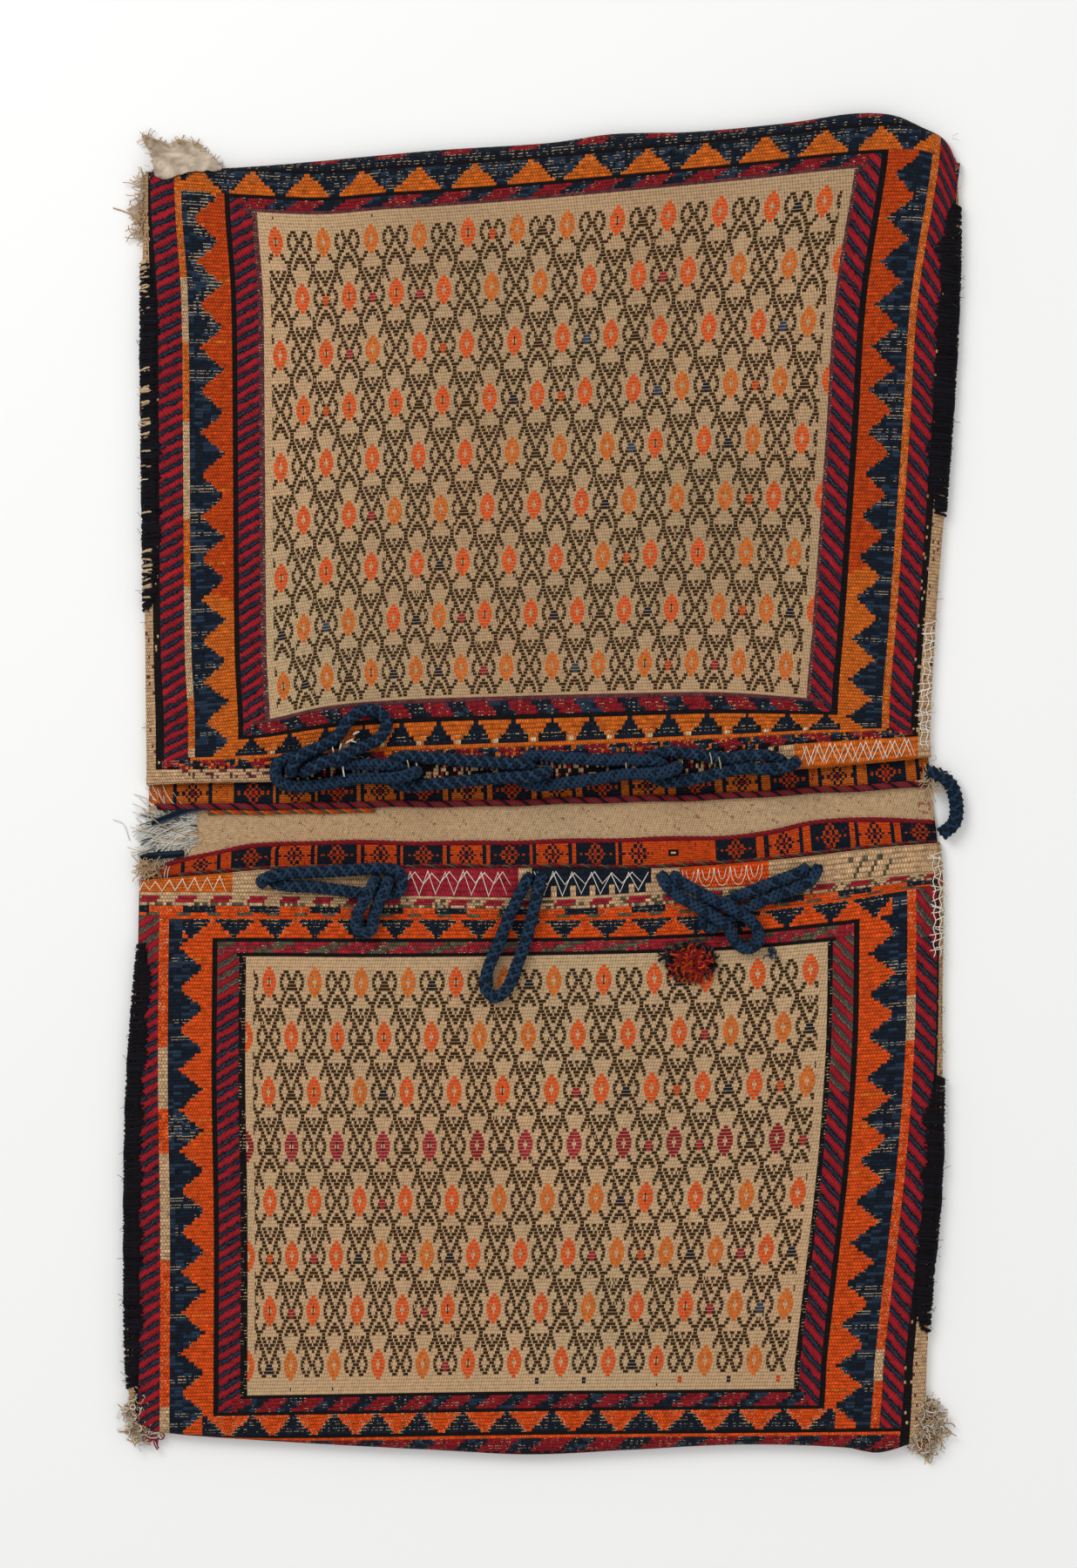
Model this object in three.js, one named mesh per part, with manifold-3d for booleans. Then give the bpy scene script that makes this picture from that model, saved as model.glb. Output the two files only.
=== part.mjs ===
// A double saddle bag lying flat and empty, mouth sides up. One long woven strip is folded in at
// both ends to make two pouches that face each other across a narrow bridge. Black wool wraps close
// the sides, and braided loops come up through slits in the mouth edges. Millimetres, +Z up, +X to
// the right of the upper pouch, +Y towards its fold. The origin is under the middle of the bag.

import * as THREE from 'three';
import { mergeVertices } from 'three/addons/utils/BufferGeometryUtils.js';
import Module from 'manifold-3d';

const wasm = await Module();
wasm.setup();

// ---------------------------------------------------------------- driving dimensions

const BACK_THICKNESS = 2.6;      // plain weave back and bridge
const FRONT_THICKNESS = 3.6;     // wrapped weave of the two fronts, with its floats behind
const POUCH_GAP = 6;             // slack between front and back
const SEAM_GAP = 0.4;            // the same, where front and back meet at the sides
const SEAM_SHARE = 0.03;         // share of the width in which a front comes down to the seam
const CROWN = 2.6;               // how far the middle of a front stands above its rim
const CLEARANCE = 0.3;           // between pieces that touch

const CORD_DIAMETER = 8;         // braided closure loops
const CORD_SPACING = CORD_DIAMETER + 0.4;
const SIDE_CORD_DIAMETER = 10;   // wrapped cord along the bridge
const STUB_DIAMETER = 6;         // what is left of the one on the other side

// The cloth's two long edges: [y, x]
const LEFT_EDGE = [
  [-450, -270], [-400, -277], [-320, -278.5], [-220, -277.5], [-150, -273.5], [-95, -268.5],
  [-45, -266], [0, -264.5], [60, -265], [200, -266.5], [330, -267.5], [450, -264],
];
const RIGHT_EDGE = [
  [-450, 256], [-385, 257.5], [-330, 261], [-290, 265], [-245, 267.5], [-150, 268], [-60, 268],
  [0, 262], [35, 259.5], [105, 263], [200, 270.5], [300, 277], [385, 279], [450, 274],
];
// The folds and the mouth edges: [share of the width from left to right, y]
const TOP_FOLD = [
  [0, 411], [0.14, 414.5], [0.36, 425], [0.5, 430], [0.58, 436], [0.68, 437.5], [0.8, 443.5],
  [0.88, 449.7], [0.93, 448.5], [0.97, 439], [1, 414],
];
const BOTTOM_FOLD = [
  [0, -430], [0.03, -435], [0.18, -441], [0.39, -447], [0.5, -449.7], [0.63, -446.5],
  [0.77, -443], [0.9, -445], [0.94, -448.5], [0.97, -445], [1, -438],
];
const UPPER_MOUTH = [[0, 0], [0.07, 1.5], [0.5, 4], [0.78, 9], [0.93, 15], [1, 19]];
const LOWER_MOUTH = [
  [0, -65], [0.1, -60.5], [0.16, -58], [0.5, -57], [0.65, -57], [0.8, -51], [0.92, -43.5], [1, -40],
];

// Where the mouth slits are: the middle of each loop's foot, [x, y]
const UPPER_SLITS = [[165, 14.5], [86, 11.5], [-1, 9], [-88, 8.5], [-163, 8]];
const LOWER_SLITS = [[-183, -66], [-107, -65], [-5, -63], [85, -62], [180, -57]];

// ---------------------------------------------------------------- geometry helpers

// A smooth curve through [place, value] pairs, read at any place along it
function curveThrough(pairs) {
  const slope = (a, b) => (b[1] - a[1]) / (b[0] - a[0]);
  const slopes = pairs.map((pair, i) => {
    const before = pairs[Math.max(i - 1, 0)];
    const after = pairs[Math.min(i + 1, pairs.length - 1)];
    return slope(before, after);
  });
  return (place) => {
    const last = pairs.length - 2;
    const found = pairs.findIndex((pair, i) => i > 0 && place <= pair[0]) - 1;
    const i = found < 0 ? (place < pairs[0][0] ? 0 : last) : found;
    const [from, to] = [pairs[i], pairs[i + 1]];
    const span = to[0] - from[0];
    const t = THREE.MathUtils.clamp((place - from[0]) / span, 0, 1);
    const rise = from[1] * (2 * t ** 3 - 3 * t ** 2 + 1) + to[1] * (3 * t ** 2 - 2 * t ** 3);
    const lean = slopes[i] * (t ** 3 - 2 * t ** 2 + t) + slopes[i + 1] * (t ** 3 - t ** 2);
    return rise + span * lean;
  };
}

// One closed skin over sections of a thick strip. Each section is { outer, inner }, two rows of
// points that pair up across the thickness, and each end is closed between its rows. Looking back
// from the last section to the first, the outer row runs clockwise.
function loft(sections) {
  const rings = sections.map(({ outer, inner }) => [...outer, ...[...inner].reverse()]);
  const count = rings[0].length;
  const positions = rings.flat().flatMap((point) => point.toArray());
  const triangles = [];
  const quad = (a, b, c, d) => triangles.push(a, b, c, a, c, d);
  for (let s = 0; s + 1 < rings.length; s += 1) {
    for (let i = 0; i < count; i += 1) {
      const a = s * count + i;
      const b = s * count + ((i + 1) % count);
      quad(a, a + count, b + count, b);
    }
  }
  const last = (rings.length - 1) * count;
  for (let i = 0; i + 1 < count / 2; i += 1) {
    const across = count - 1 - i;
    quad(i, i + 1, across - 1, across);
    quad(last + i, last + across, last + across - 1, last + i + 1);
  }
  const geometry = new THREE.BufferGeometry();
  geometry.setAttribute('position', new THREE.Float32BufferAttribute(positions, 3));
  geometry.setIndex(triangles);
  return geometry;
}

function toSolid(geometry) {
  const plain = geometry.clone();
  plain.deleteAttribute('normal');
  plain.deleteAttribute('uv');
  const merged = mergeVertices(plain, 1e-4);
  const vertProperties = new Float32Array(merged.attributes.position.array);
  const triVerts = new Uint32Array(merged.index.array);
  return new wasm.Manifold(new wasm.Mesh({ numProp: 3, vertProperties, triVerts }));
}

function toGeometry(solid) {
  const { vertProperties, triVerts } = solid.getMesh();
  const geometry = new THREE.BufferGeometry();
  geometry.setAttribute('position', new THREE.Float32BufferAttribute(vertProperties, 3));
  geometry.setIndex([...triVerts]);
  return geometry;
}

function block(xFrom, xTo, yFrom, yTo, zFrom, zTo) {
  const geometry = new THREE.BoxGeometry(xTo - xFrom, yTo - yFrom, zTo - zFrom);
  return geometry.translate((xFrom + xTo) / 2, (yFrom + yTo) / 2, (zFrom + zTo) / 2);
}

// A round cord along a smooth curve through points
function cord(points, diameter, steps) {
  const path = new THREE.CatmullRomCurve3(points.map((point) => new THREE.Vector3(...point)));
  const section = new THREE.Shape();
  const sides = 8;
  for (let i = 0; i < sides; i += 1) {
    const angle = (2 * Math.PI * i) / sides;
    const [x, y] = [(Math.cos(angle) * diameter) / 2, (Math.sin(angle) * diameter) / 2];
    if (i === 0) section.moveTo(x, y);
    else section.lineTo(x, y);
  }
  section.closePath();
  return new THREE.ExtrudeGeometry(section, { steps, extrudePath: path, curveSegments: 1 });
}

// ---------------------------------------------------------------- the woven strip

const leftEdge = curveThrough(LEFT_EDGE);
const rightEdge = curveThrough(RIGHT_EDGE);
const topFold = curveThrough(TOP_FOLD);
const bottomFold = curveThrough(BOTTOM_FOLD);
const upperMouth = curveThrough(UPPER_MOUTH);
const lowerMouth = curveThrough(LOWER_MOUTH);

const WIDTH_STATIONS = [
  0, SEAM_SHARE, 0.08, 0.16, 0.27, 0.39, 0.5, 0.62, 0.73, 0.82, 0.89, 0.94, 1 - SEAM_SHARE, 1,
];
// Shares of a front from its mouth to its fold
const FRONT_STATIONS = [0, 0.06, 0.2, 0.36, 0.52, 0.7, 0.88, 1];

const RIM_HEIGHT = BACK_THICKNESS + POUCH_GAP + FRONT_THICKNESS;
const SEAM_HEIGHT = BACK_THICKNESS + SEAM_GAP + FRONT_THICKNESS;

function crownAt(along, across) {
  return CROWN * (4 * along * (1 - along)) ** 2 * (4 * across * (1 - across)) ** 2;
}

function clothPoint(across, y, z) {
  const x = THREE.MathUtils.lerp(leftEdge(y), rightEdge(y), across);
  return new THREE.Vector3(x, y, z);
}

// The strip cut along its length at one share of its width, from the upper mouth round the upper
// fold, along the floor, and round the lower fold to the lower mouth
function clothSection(across) {
  const inSeam = across === 0 || across === 1;
  const gap = inSeam ? SEAM_GAP : POUCH_GAP;
  const height = BACK_THICKNESS + gap + FRONT_THICKNESS;
  const inside = BACK_THICKNESS + gap;
  const upper = { mouth: upperMouth(across), fold: topFold(across) - height / 2, out: 1 };
  const lower = { mouth: lowerMouth(across), fold: bottomFold(across) + height / 2, out: -1 };
  const outer = [];
  const inner = [];

  const run = ({ mouth, fold }, stations, outerZ, innerZ) => {
    for (const along of stations) {
      const y = THREE.MathUtils.lerp(mouth, fold, along);
      const crown = outerZ > 0 ? crownAt(along, across) : 0;
      outer.push(clothPoint(across, y, outerZ + crown));
      inner.push(clothPoint(across, y, innerZ + crown));
    }
  };
  const turn = ({ fold, out }, degrees) => {
    for (const angle of degrees.map(THREE.MathUtils.degToRad)) {
      const [outwards, up] = [Math.cos(angle) * out, Math.sin(angle)];
      outer.push(clothPoint(across, fold + (height / 2) * outwards, (height / 2) * (1 + up)));
      const middle = BACK_THICKNESS + gap / 2;
      inner.push(clothPoint(across, fold + (gap / 2) * outwards, middle + (gap / 2) * up));
    }
  };
  const toFold = FRONT_STATIONS;
  const toMouth = [...FRONT_STATIONS].reverse();

  run(upper, toFold, height, inside);
  turn(upper, [60, 30, 0, -30, -60]);
  run(upper, toMouth, 0, BACK_THICKNESS);
  run(lower, toFold, 0, BACK_THICKNESS);
  turn(lower, [-60, -30, 0, 30, 60]);
  run(lower, toMouth, height, inside);
  return { outer, inner };
}

function wovenCloth() {
  let cloth = toSolid(loft(WIDTH_STATIONS.map(clothSection)));

  // slits that the loops come up through, open at the mouth edge
  const cuts = [];
  const slitBottom = BACK_THICKNESS + POUCH_GAP / 2;
  const slitTop = RIM_HEIGHT + CROWN + 1;
  const halfLength = CORD_SPACING / 2 + CORD_DIAMETER / 2 + 0.6;
  const halfWidth = CORD_DIAMETER / 2 + 0.8;
  for (const [x, y] of UPPER_SLITS) {
    cuts.push(block(x - halfLength, x + halfLength, -20, y + halfWidth, slitBottom, slitTop));
  }
  for (const [x, y] of LOWER_SLITS) {
    cuts.push(block(x - halfLength, x + halfLength, y - halfWidth, -30, slitBottom, slitTop));
  }
  // the torn edge of the bridge, at the left
  const [tearDepth, tearTop, tearBottom] = [-241, -22, -42];
  cuts.push(block(-300, tearDepth, tearBottom, tearTop, -1, BACK_THICKNESS + 1));
  for (const cut of cuts) cloth = cloth.subtract(toSolid(cut));
  return toGeometry(cloth);
}

// ---------------------------------------------------------------- side wraps and mending

// Yarn sewn over a side seam between two heights: down the outside to the floor, and inwards over
// the front. side is -1 at the left and 1 at the right.
function edgeWrap(side, yFrom, yTo, thickness, reach) {
  const edge = side < 0 ? leftEdge : rightEdge;
  const beside = 1;
  const above = 0.7;
  const rise = (RIM_HEIGHT - SEAM_HEIGHT) / (SEAM_SHARE * 540);
  const frontTop = (inwards) => SEAM_HEIGHT + rise * inwards;
  const outer = [
    [-beside - thickness, 0],
    [-beside - thickness, frontTop(0)],
    [0, frontTop(0) + above + thickness * 0.8],
    [reach, frontTop(reach) + above + thickness * 0.6],
  ];
  const inner = [
    [-beside, 0],
    [-beside, frontTop(0) * 0.7],
    [-beside, frontTop(0) + above],
    [reach, frontTop(reach) + above],
  ];
  const steps = Math.ceil((yTo - yFrom) / 25);
  const sections = [];
  for (let i = 0; i <= steps; i += 1) {
    const y = THREE.MathUtils.lerp(yFrom, yTo, i / steps);
    const place = ([inwards, z]) => new THREE.Vector3(edge(y) - side * inwards, y, z);
    const [first, second] = side < 0 ? [inner, outer] : [outer, inner];
    sections.push({ outer: first.map(place), inner: second.map(place) });
  }
  return loft(sections);
}

// ---------------------------------------------------------------- braided loops

const ON_FRONT = RIM_HEIGHT + CLEARANCE + CORD_DIAMETER / 2;   // height of a cord lying on a front
const OVER_CORD = ON_FRONT + CORD_DIAMETER + 0.6;              // and of one that lies on a cord
const FOOT = BACK_THICKNESS + POUCH_GAP + CLEARANCE;           // a cord's end, in its slit
const HALF = CORD_SPACING / 2;

// A loop of the chain runs to the left from the slit at foot and ends in an eye round the foot of
// the next loop, at eye. spread opens its legs on the way.
function chainLoop(foot, eye, spread) {
  const [footX, footY] = foot;
  const [eyeX, eyeY] = eye;
  const middleX = (footX + eyeX) / 2;
  const middleY = (footY + eyeY) / 2;
  return [
    [footX - HALF, footY, FOOT],
    [footX - HALF, footY, 14],
    [footX - 6, footY + 1.6, OVER_CORD - 4],
    [footX - 12, footY + 3.9, OVER_CORD + 0.4],
    [footX - 19, footY + 4.4, OVER_CORD],
    [footX - 30, footY + HALF + spread / 2, ON_FRONT + 2.4],
    [middleX, middleY + HALF + spread, ON_FRONT],
    [eyeX + 11, eyeY + 9, ON_FRONT],
    [eyeX - 4, eyeY + 9.6, ON_FRONT],
    [eyeX - 14, eyeY + 5, ON_FRONT],
    [eyeX - 14, eyeY - 5, ON_FRONT],
    [eyeX - 4, eyeY - 9.6, ON_FRONT],
    [eyeX + 11, eyeY - 9, ON_FRONT],
    [middleX, middleY - HALF - spread, ON_FRONT],
    [footX - 30, footY - HALF - spread / 2, ON_FRONT + 2.8],
    [footX - 18, footY - 4.6, OVER_CORD + 1.6],
    [footX - 9, footY - 4.2, OVER_CORD + 4.6],
    [footX - 1, footY - 2.6, OVER_CORD + 3.4],
    [footX + 3.8, footY - 0.6, OVER_CORD - 3.4],
    [footX + HALF, footY, 14],
    [footX + HALF, footY, FOOT],
  ];
}

const [UPPER_1, UPPER_2, UPPER_3, UPPER_4, UPPER_5] = UPPER_SLITS;
const [LOWER_1, LOWER_2, LOWER_3, LOWER_4, LOWER_5] = LOWER_SLITS;

const LOOP_ROUTES = {
  closure_loop_upper_1: chainLoop(UPPER_1, UPPER_2, 0),
  closure_loop_upper_2: chainLoop(UPPER_2, UPPER_3, 1.6),
  closure_loop_upper_3: chainLoop(UPPER_3, UPPER_4, 2),
  closure_loop_upper_4: chainLoop(UPPER_4, UPPER_5, 0.6),

  // the last of the chain turns up and to the right, and its eye lies free on the border
  closure_loop_upper_5: [
    [UPPER_5[0] - HALF, UPPER_5[1], FOOT],
    [UPPER_5[0] - HALF, UPPER_5[1], 14],
    [-167.5, 9.5, 22.5],
    [-163.5, 16.5, OVER_CORD + 0.6],
    [-154, 22.5, OVER_CORD - 1.5],
    [-144, 26.5, 20],
    [-135.5, 33.5, ON_FRONT + 0.6],
    [-129.5, 42.5, ON_FRONT + 0.6],
    [-120, 49, ON_FRONT + 0.6],
    [-110, 48.5, ON_FRONT + 0.6],
    [-103.5, 41, ON_FRONT + 0.6],
    [-109, 30.5, ON_FRONT + 0.6],
    [-121, 24.5, ON_FRONT + 1.6],
    [-134, 18.5, 23.5],
    [-145, 14.5, OVER_CORD + 1.6],
    [-154, 10.5, OVER_CORD],
    [UPPER_5[0] + HALF + 0.6, UPPER_5[1] + 0.6, 20],
    [UPPER_5[0] + HALF, UPPER_5[1], 13],
    [UPPER_5[0] + HALF, UPPER_5[1], FOOT],
  ],

  // lies to the right, its eye round the foot of the second
  closure_loop_lower_1: [
    [LOWER_1[0] - HALF, LOWER_1[1], FOOT],
    [LOWER_1[0] - HALF, LOWER_1[1], 13],
    [-185.5, -63.5, 22],
    [-178, -60.6, 24.6],
    [-168, -59.6, 21],
    [-152, -59, ON_FRONT + 0.4],
    [-130, -57.8, ON_FRONT],
    [-108, -56.4, ON_FRONT],
    [-96, -58.6, ON_FRONT],
    [-93.4, -65.5, ON_FRONT],
    [-96, -72.2, ON_FRONT],
    [-108, -74, ON_FRONT],
    [-130, -71.8, ON_FRONT],
    [-152, -69, ON_FRONT + 0.4],
    [-166, -68.4, 19],
    [-174, -67.4, 20],
    [LOWER_1[0] + HALF, LOWER_1[1], 13],
    [LOWER_1[0] + HALF, LOWER_1[1], FOOT],
  ],

  // comes up through that eye and folds over, down and to the left
  closure_loop_lower_2: [
    [LOWER_2[0] - HALF, LOWER_2[1], FOOT],
    [LOWER_2[0] - HALF, LOWER_2[1], 15],
    [-112.6, -66.6, 22],
    [-115.6, -72.6, OVER_CORD + 0.6],
    [-119.5, -80, OVER_CORD - 0.6],
    [-123.4, -88, ON_FRONT + 2.4],
    [-124, -95, ON_FRONT + 1],
    [-119, -100, ON_FRONT + 1],
    [-113.4, -96.4, ON_FRONT + 1],
    [-112.4, -88.5, ON_FRONT + 2],
    [-109, -80, OVER_CORD - 0.6],
    [-105.6, -72.6, OVER_CORD + 0.6],
    [-103.4, -66.6, 22],
    [LOWER_2[0] + HALF, LOWER_2[1], 15],
    [LOWER_2[0] + HALF, LOWER_2[1], FOOT],
  ],

  // hangs straight down over the front, its eye long and narrow
  closure_loop_lower_3: [
    [LOWER_3[0] - HALF, LOWER_3[1], FOOT],
    [LOWER_3[0] - HALF, LOWER_3[1], 13],
    [-11.6, -67.5, 18.6],
    [-16, -76, ON_FRONT + 0.4],
    [-22.5, -90, ON_FRONT + 0.6],
    [-29.5, -108, ON_FRONT + 1],
    [-37, -127, ON_FRONT + 1.4],
    [-37.5, -137, ON_FRONT + 1.6],
    [-31, -142.5, ON_FRONT + 1.6],
    [-23.5, -137, ON_FRONT + 1.6],
    [-17, -122, ON_FRONT + 1.2],
    [-10, -102, ON_FRONT + 0.8],
    [-5.6, -84, ON_FRONT + 0.4],
    [-2.6, -71, 18.8],
    [LOWER_3[0] + HALF, LOWER_3[1] + 0.4, 14],
    [LOWER_3[0] + HALF, LOWER_3[1], FOOT],
  ],

  // goes down to the right over the fifth, and opens in a small eye past it
  closure_loop_lower_4: [
    [LOWER_4[0] - HALF, LOWER_4[1], FOOT],
    [LOWER_4[0] - HALF, LOWER_4[1], 13],
    [82.6, -67, 19.4],
    [90, -73.6, 19.6],
    [104, -82, 22.5],
    [116, -89, OVER_CORD + 0.8],
    [125, -97, OVER_CORD - 1],
    [129, -104.6, ON_FRONT + 2],
    [136, -110, ON_FRONT + 1],
    [144, -106.5, ON_FRONT + 1],
    [144, -97, ON_FRONT + 2.6],
    [136, -88.6, OVER_CORD - 1],
    [124.6, -82.4, OVER_CORD + 0.8],
    [110, -75, 22.5],
    [98, -68.4, 19.6],
    [91, -64.4, 18.6],
    [LOWER_4[0] + HALF, LOWER_4[1], 13],
    [LOWER_4[0] + HALF, LOWER_4[1], FOOT],
  ],

  // goes down to the left under the fourth
  closure_loop_lower_5: [
    [LOWER_5[0] - HALF, LOWER_5[1], FOOT],
    [LOWER_5[0] - HALF, LOWER_5[1], 13],
    [173.4, -58.6, 17.6],
    [165, -62, ON_FRONT + 0.4],
    [150, -67.6, ON_FRONT],
    [136, -73.2, ON_FRONT],
    [122, -79.4, ON_FRONT],
    [112, -85, ON_FRONT],
    [107.6, -91, ON_FRONT],
    [111.6, -96, ON_FRONT],
    [119, -94, ON_FRONT],
    [128, -88, ON_FRONT],
    [141, -81.4, ON_FRONT],
    [154, -75.4, ON_FRONT],
    [168, -70, ON_FRONT + 0.6],
    [179, -65, 18.4],
    [LOWER_5[0] + HALF, LOWER_5[1], 13],
    [LOWER_5[0] + HALF, LOWER_5[1], FOOT],
  ],
};

// The wrapped cord beside the bridge at the right, which stands away from the cloth
const SIDE_CORD_ROUTE = [
  [258, 8, 8.2],
  [267, 5.5, 8],
  [274.5, -1.5, 6.6],
  [278, -14, 5.5],
  [276.5, -26, 6],
  [268, -33.5, 8],
];
// The two ends of the broken one at the left
const STUB_ROUTES = {
  side_cord_stub_upper: [[-226, -16, 6.2], [-238, -18, 6.2], [-250, -22.6, 6.2], [-262, -27, 4.4]],
  side_cord_stub_lower: [[-240, -46.4, 6.2], [-250, -47, 6.2], [-260, -47.6, 6.4], [-270, -49, 5.8]],
};

// ---------------------------------------------------------------- tufts and scraps

// A flattened ball of wool resting at height bottom
function woolBall([x, y], [across, along], bottom, height, detail) {
  const geometry = new THREE.SphereGeometry(1, detail, Math.ceil(detail / 2));
  geometry.rotateX(Math.PI / 2);
  geometry.scale(across / 2, along / 2, height / 2);
  return geometry.translate(x, y, bottom + height / 2);
}

// A scrap of thin cloth lying on the floor past the upper left corner
function cornerScrap() {
  const outline = [
    [-269, 433], [-266, 435.5], [-258, 432], [-251, 429.5], [-244, 431.5], [-230, 429.5],
    [-221, 421], [-217, 417.5], [-234, 415.8], [-256, 414.6], [-262, 419], [-265.5, 426],
  ];
  const shape = new THREE.Shape(outline.map(([x, y]) => new THREE.Vector2(x, y)));
  const options = { depth: 2.2, bevelEnabled: false };
  return new THREE.ExtrudeGeometry(shape, options).translate(0, 0, 0.3);
}

// ---------------------------------------------------------------- assembly

const bag = new THREE.Group();

function addPiece(name, geometry, colour, roughness) {
  const material = new THREE.MeshStandardMaterial({ color: colour, roughness, metalness: 0 });
  const mesh = new THREE.Mesh(geometry, material);
  mesh.name = name;
  bag.add(mesh);
}

const CREAM = 0xb79c78;
const BLACK_WOOL = 0x10101a;
const NAVY_BRAID = 0x16283c;
const COTTON = 0xc9b99c;
const ORANGE_WOOL = 0xb8401c;
const BLUE_WOOL = 0x1d3a5c;

addPiece('woven_cloth', wovenCloth(), CREAM, 0.95);

addPiece('edge_wrap_upper_left', edgeWrap(-1, 118, 350, 2.8, 10.5), BLACK_WOOL, 0.95);
addPiece('edge_wrap_upper_right', edgeWrap(1, 181, 388, 2.8, 13), BLACK_WOOL, 0.95);
addPiece('edge_wrap_lower_left', edgeWrap(-1, -404, -108, 2.8, 10.5), BLACK_WOOL, 0.95);
addPiece('edge_wrap_lower_right', edgeWrap(1, -366, -196, 2.8, 11.5), BLACK_WOOL, 0.95);
addPiece('mending_thread_upper', edgeWrap(1, 24, 106, 1, 9), COTTON, 0.9);
addPiece('mending_thread_lower', edgeWrap(1, -116, -48, 1, 9), COTTON, 0.9);

for (const [name, route] of Object.entries(LOOP_ROUTES)) {
  addPiece(name, cord(route, CORD_DIAMETER, 30), NAVY_BRAID, 0.9);
}
addPiece('side_cord_right', cord(SIDE_CORD_ROUTE, SIDE_CORD_DIAMETER, 12), NAVY_BRAID, 0.9);
for (const [name, route] of Object.entries(STUB_ROUTES)) {
  addPiece(name, cord(route, STUB_DIAMETER, 5), NAVY_BRAID, 0.9);
}

const ON_CROWN = RIM_HEIGHT + 1.6;   // just over a front, a little way in from its mouth
addPiece('pompom', woolBall([102, -119], [38, 29], ON_CROWN, 12, 14), ORANGE_WOOL, 1);
addPiece('yarn_knot_blue', woolBall([153, -114], [7, 9], ON_CROWN, 5, 8), BLUE_WOOL, 1);
addPiece('corner_scrap', cornerScrap(), COTTON, 0.95);
addPiece('wool_tuft_lower_left', woolBall([-269, -443], [28, 14], 0.3, 8, 10), COTTON, 1);
addPiece('wool_tuft_lower_right', woolBall([267, -435], [16, 30], 0.3, 8, 10), COTTON, 1);

export default bag;
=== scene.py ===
"""A flat-woven double saddle bag, lying empty on a pale floor and seen from straight above.

The weave is built stitch by stitch: a column is a pair of warps and a row is one pass of weft. The
figures are drawn in columns and rows, and each pouch front lays that grid out over its own outline.
Lengths are written in millimetres, +Y towards the fold of the upper pouch, and become metres where
the meshes are made.
"""

import math

import bpy
import numpy as np
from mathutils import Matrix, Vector


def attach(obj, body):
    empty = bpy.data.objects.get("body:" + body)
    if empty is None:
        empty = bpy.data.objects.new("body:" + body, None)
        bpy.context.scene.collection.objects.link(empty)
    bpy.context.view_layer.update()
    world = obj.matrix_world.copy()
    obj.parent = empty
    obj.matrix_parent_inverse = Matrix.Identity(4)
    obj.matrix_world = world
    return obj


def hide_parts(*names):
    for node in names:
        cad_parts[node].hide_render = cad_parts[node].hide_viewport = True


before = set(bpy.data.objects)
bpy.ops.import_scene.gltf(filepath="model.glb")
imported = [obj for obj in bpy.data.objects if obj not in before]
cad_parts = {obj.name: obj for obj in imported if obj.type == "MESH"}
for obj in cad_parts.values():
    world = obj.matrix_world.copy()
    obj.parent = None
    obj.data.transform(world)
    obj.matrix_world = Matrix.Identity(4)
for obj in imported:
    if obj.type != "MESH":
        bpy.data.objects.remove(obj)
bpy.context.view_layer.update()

bl_info = {
    "name": "Double saddle bag",
    "version": (1, 0, 0),
    "blender": (4, 5, 0),
    "location": "3D View > Sidebar > Saddle bag",
    "description": "Builds a woven double saddle bag stitch by stitch",
    "category": "Add Mesh",
}

MM = 0.001
SEED = 7

# ------------------------------------------------------------------ colours


def linear(hex_colour):
    """An sRGB hex colour as linear red, green and blue."""
    parts = [int(hex_colour[i : i + 2], 16) / 255 for i in (1, 3, 5)]
    return tuple(p / 12.92 if p <= 0.04045 else ((p + 0.055) / 1.055) ** 2.4 for p in parts)


# The dyers' colours: name, what it is on the bag, sRGB hex
PALETTE = (
    ("cream", "Undyed wool of the figured ground's warp and lines", "#c29c74"),
    ("light_cream", "Worn undyed wool", "#cdb088"),
    ("brown", "Dark brown floats of the figured ground", "#33210d"),
    ("orange", "Orange of the upper pouch's borders", "#b93f0c"),
    ("flame", "Brighter orange of the lower pouch and the lozenges", "#d24a12"),
    ("gold", "Yellower orange beside the upper mouth and folds", "#c8601a"),
    ("red", "Madder red of the slanted border bands", "#82161f"),
    ("crimson", "Pinker red of the lower pouch's blocks", "#96202b"),
    ("navy", "Indigo of the borders", "#101a27"),
    ("blue", "Lighter, worn indigo", "#2c4056"),
    ("black", "Black outlines", "#120c0e"),
    ("mauve", "Faded purple line beside the ground", "#5f3034"),
    ("olive", "Grey-brown of the lower pouch's blocks", "#57503c"),
    ("white_wool", "Bleached wool", "#e4ded2"),
    ("braid", "Indigo braid of the closure loops", "#15283c"),
    ("wrap", "Black wool sewn over the side seams", "#151116"),
    ("cotton", "Pale mending thread", "#c9bba0"),
)


# Name, what it is, and millimetres
SIZES = (
    ("cord_diameter", "Thickness of a closure loop's braid", 8.0),
    ("side_cord_diameter", "Thickness of the cord at the right of the bridge", 9.2),
    ("rim_height", "Height of a pouch front above the floor", 12.2),
    ("seam_height", "Height of a side seam above the floor", 6.6),
    ("seam_reach", "How far in from a seam a front has risen", 17.0),
    ("crown", "How much a front swells in its middle", 2.4),
    ("back_thickness", "Thickness of the cloth of the bridge", 2.6),
    ("trim_radius", "Radius of the plied trim cord", 2.0),
)


def colour(name):
    """One of the bag's colours as it is set in the panel, linear."""
    return np.array(getattr(bpy.context.scene.saddle_bag, name))


def size(name):
    """One of the bag's sizes as it is set in the panel, in millimetres."""
    return getattr(bpy.context.scene.saddle_bag, name) / MM


# ------------------------------------------------------------------ outlines, in millimetres

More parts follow.
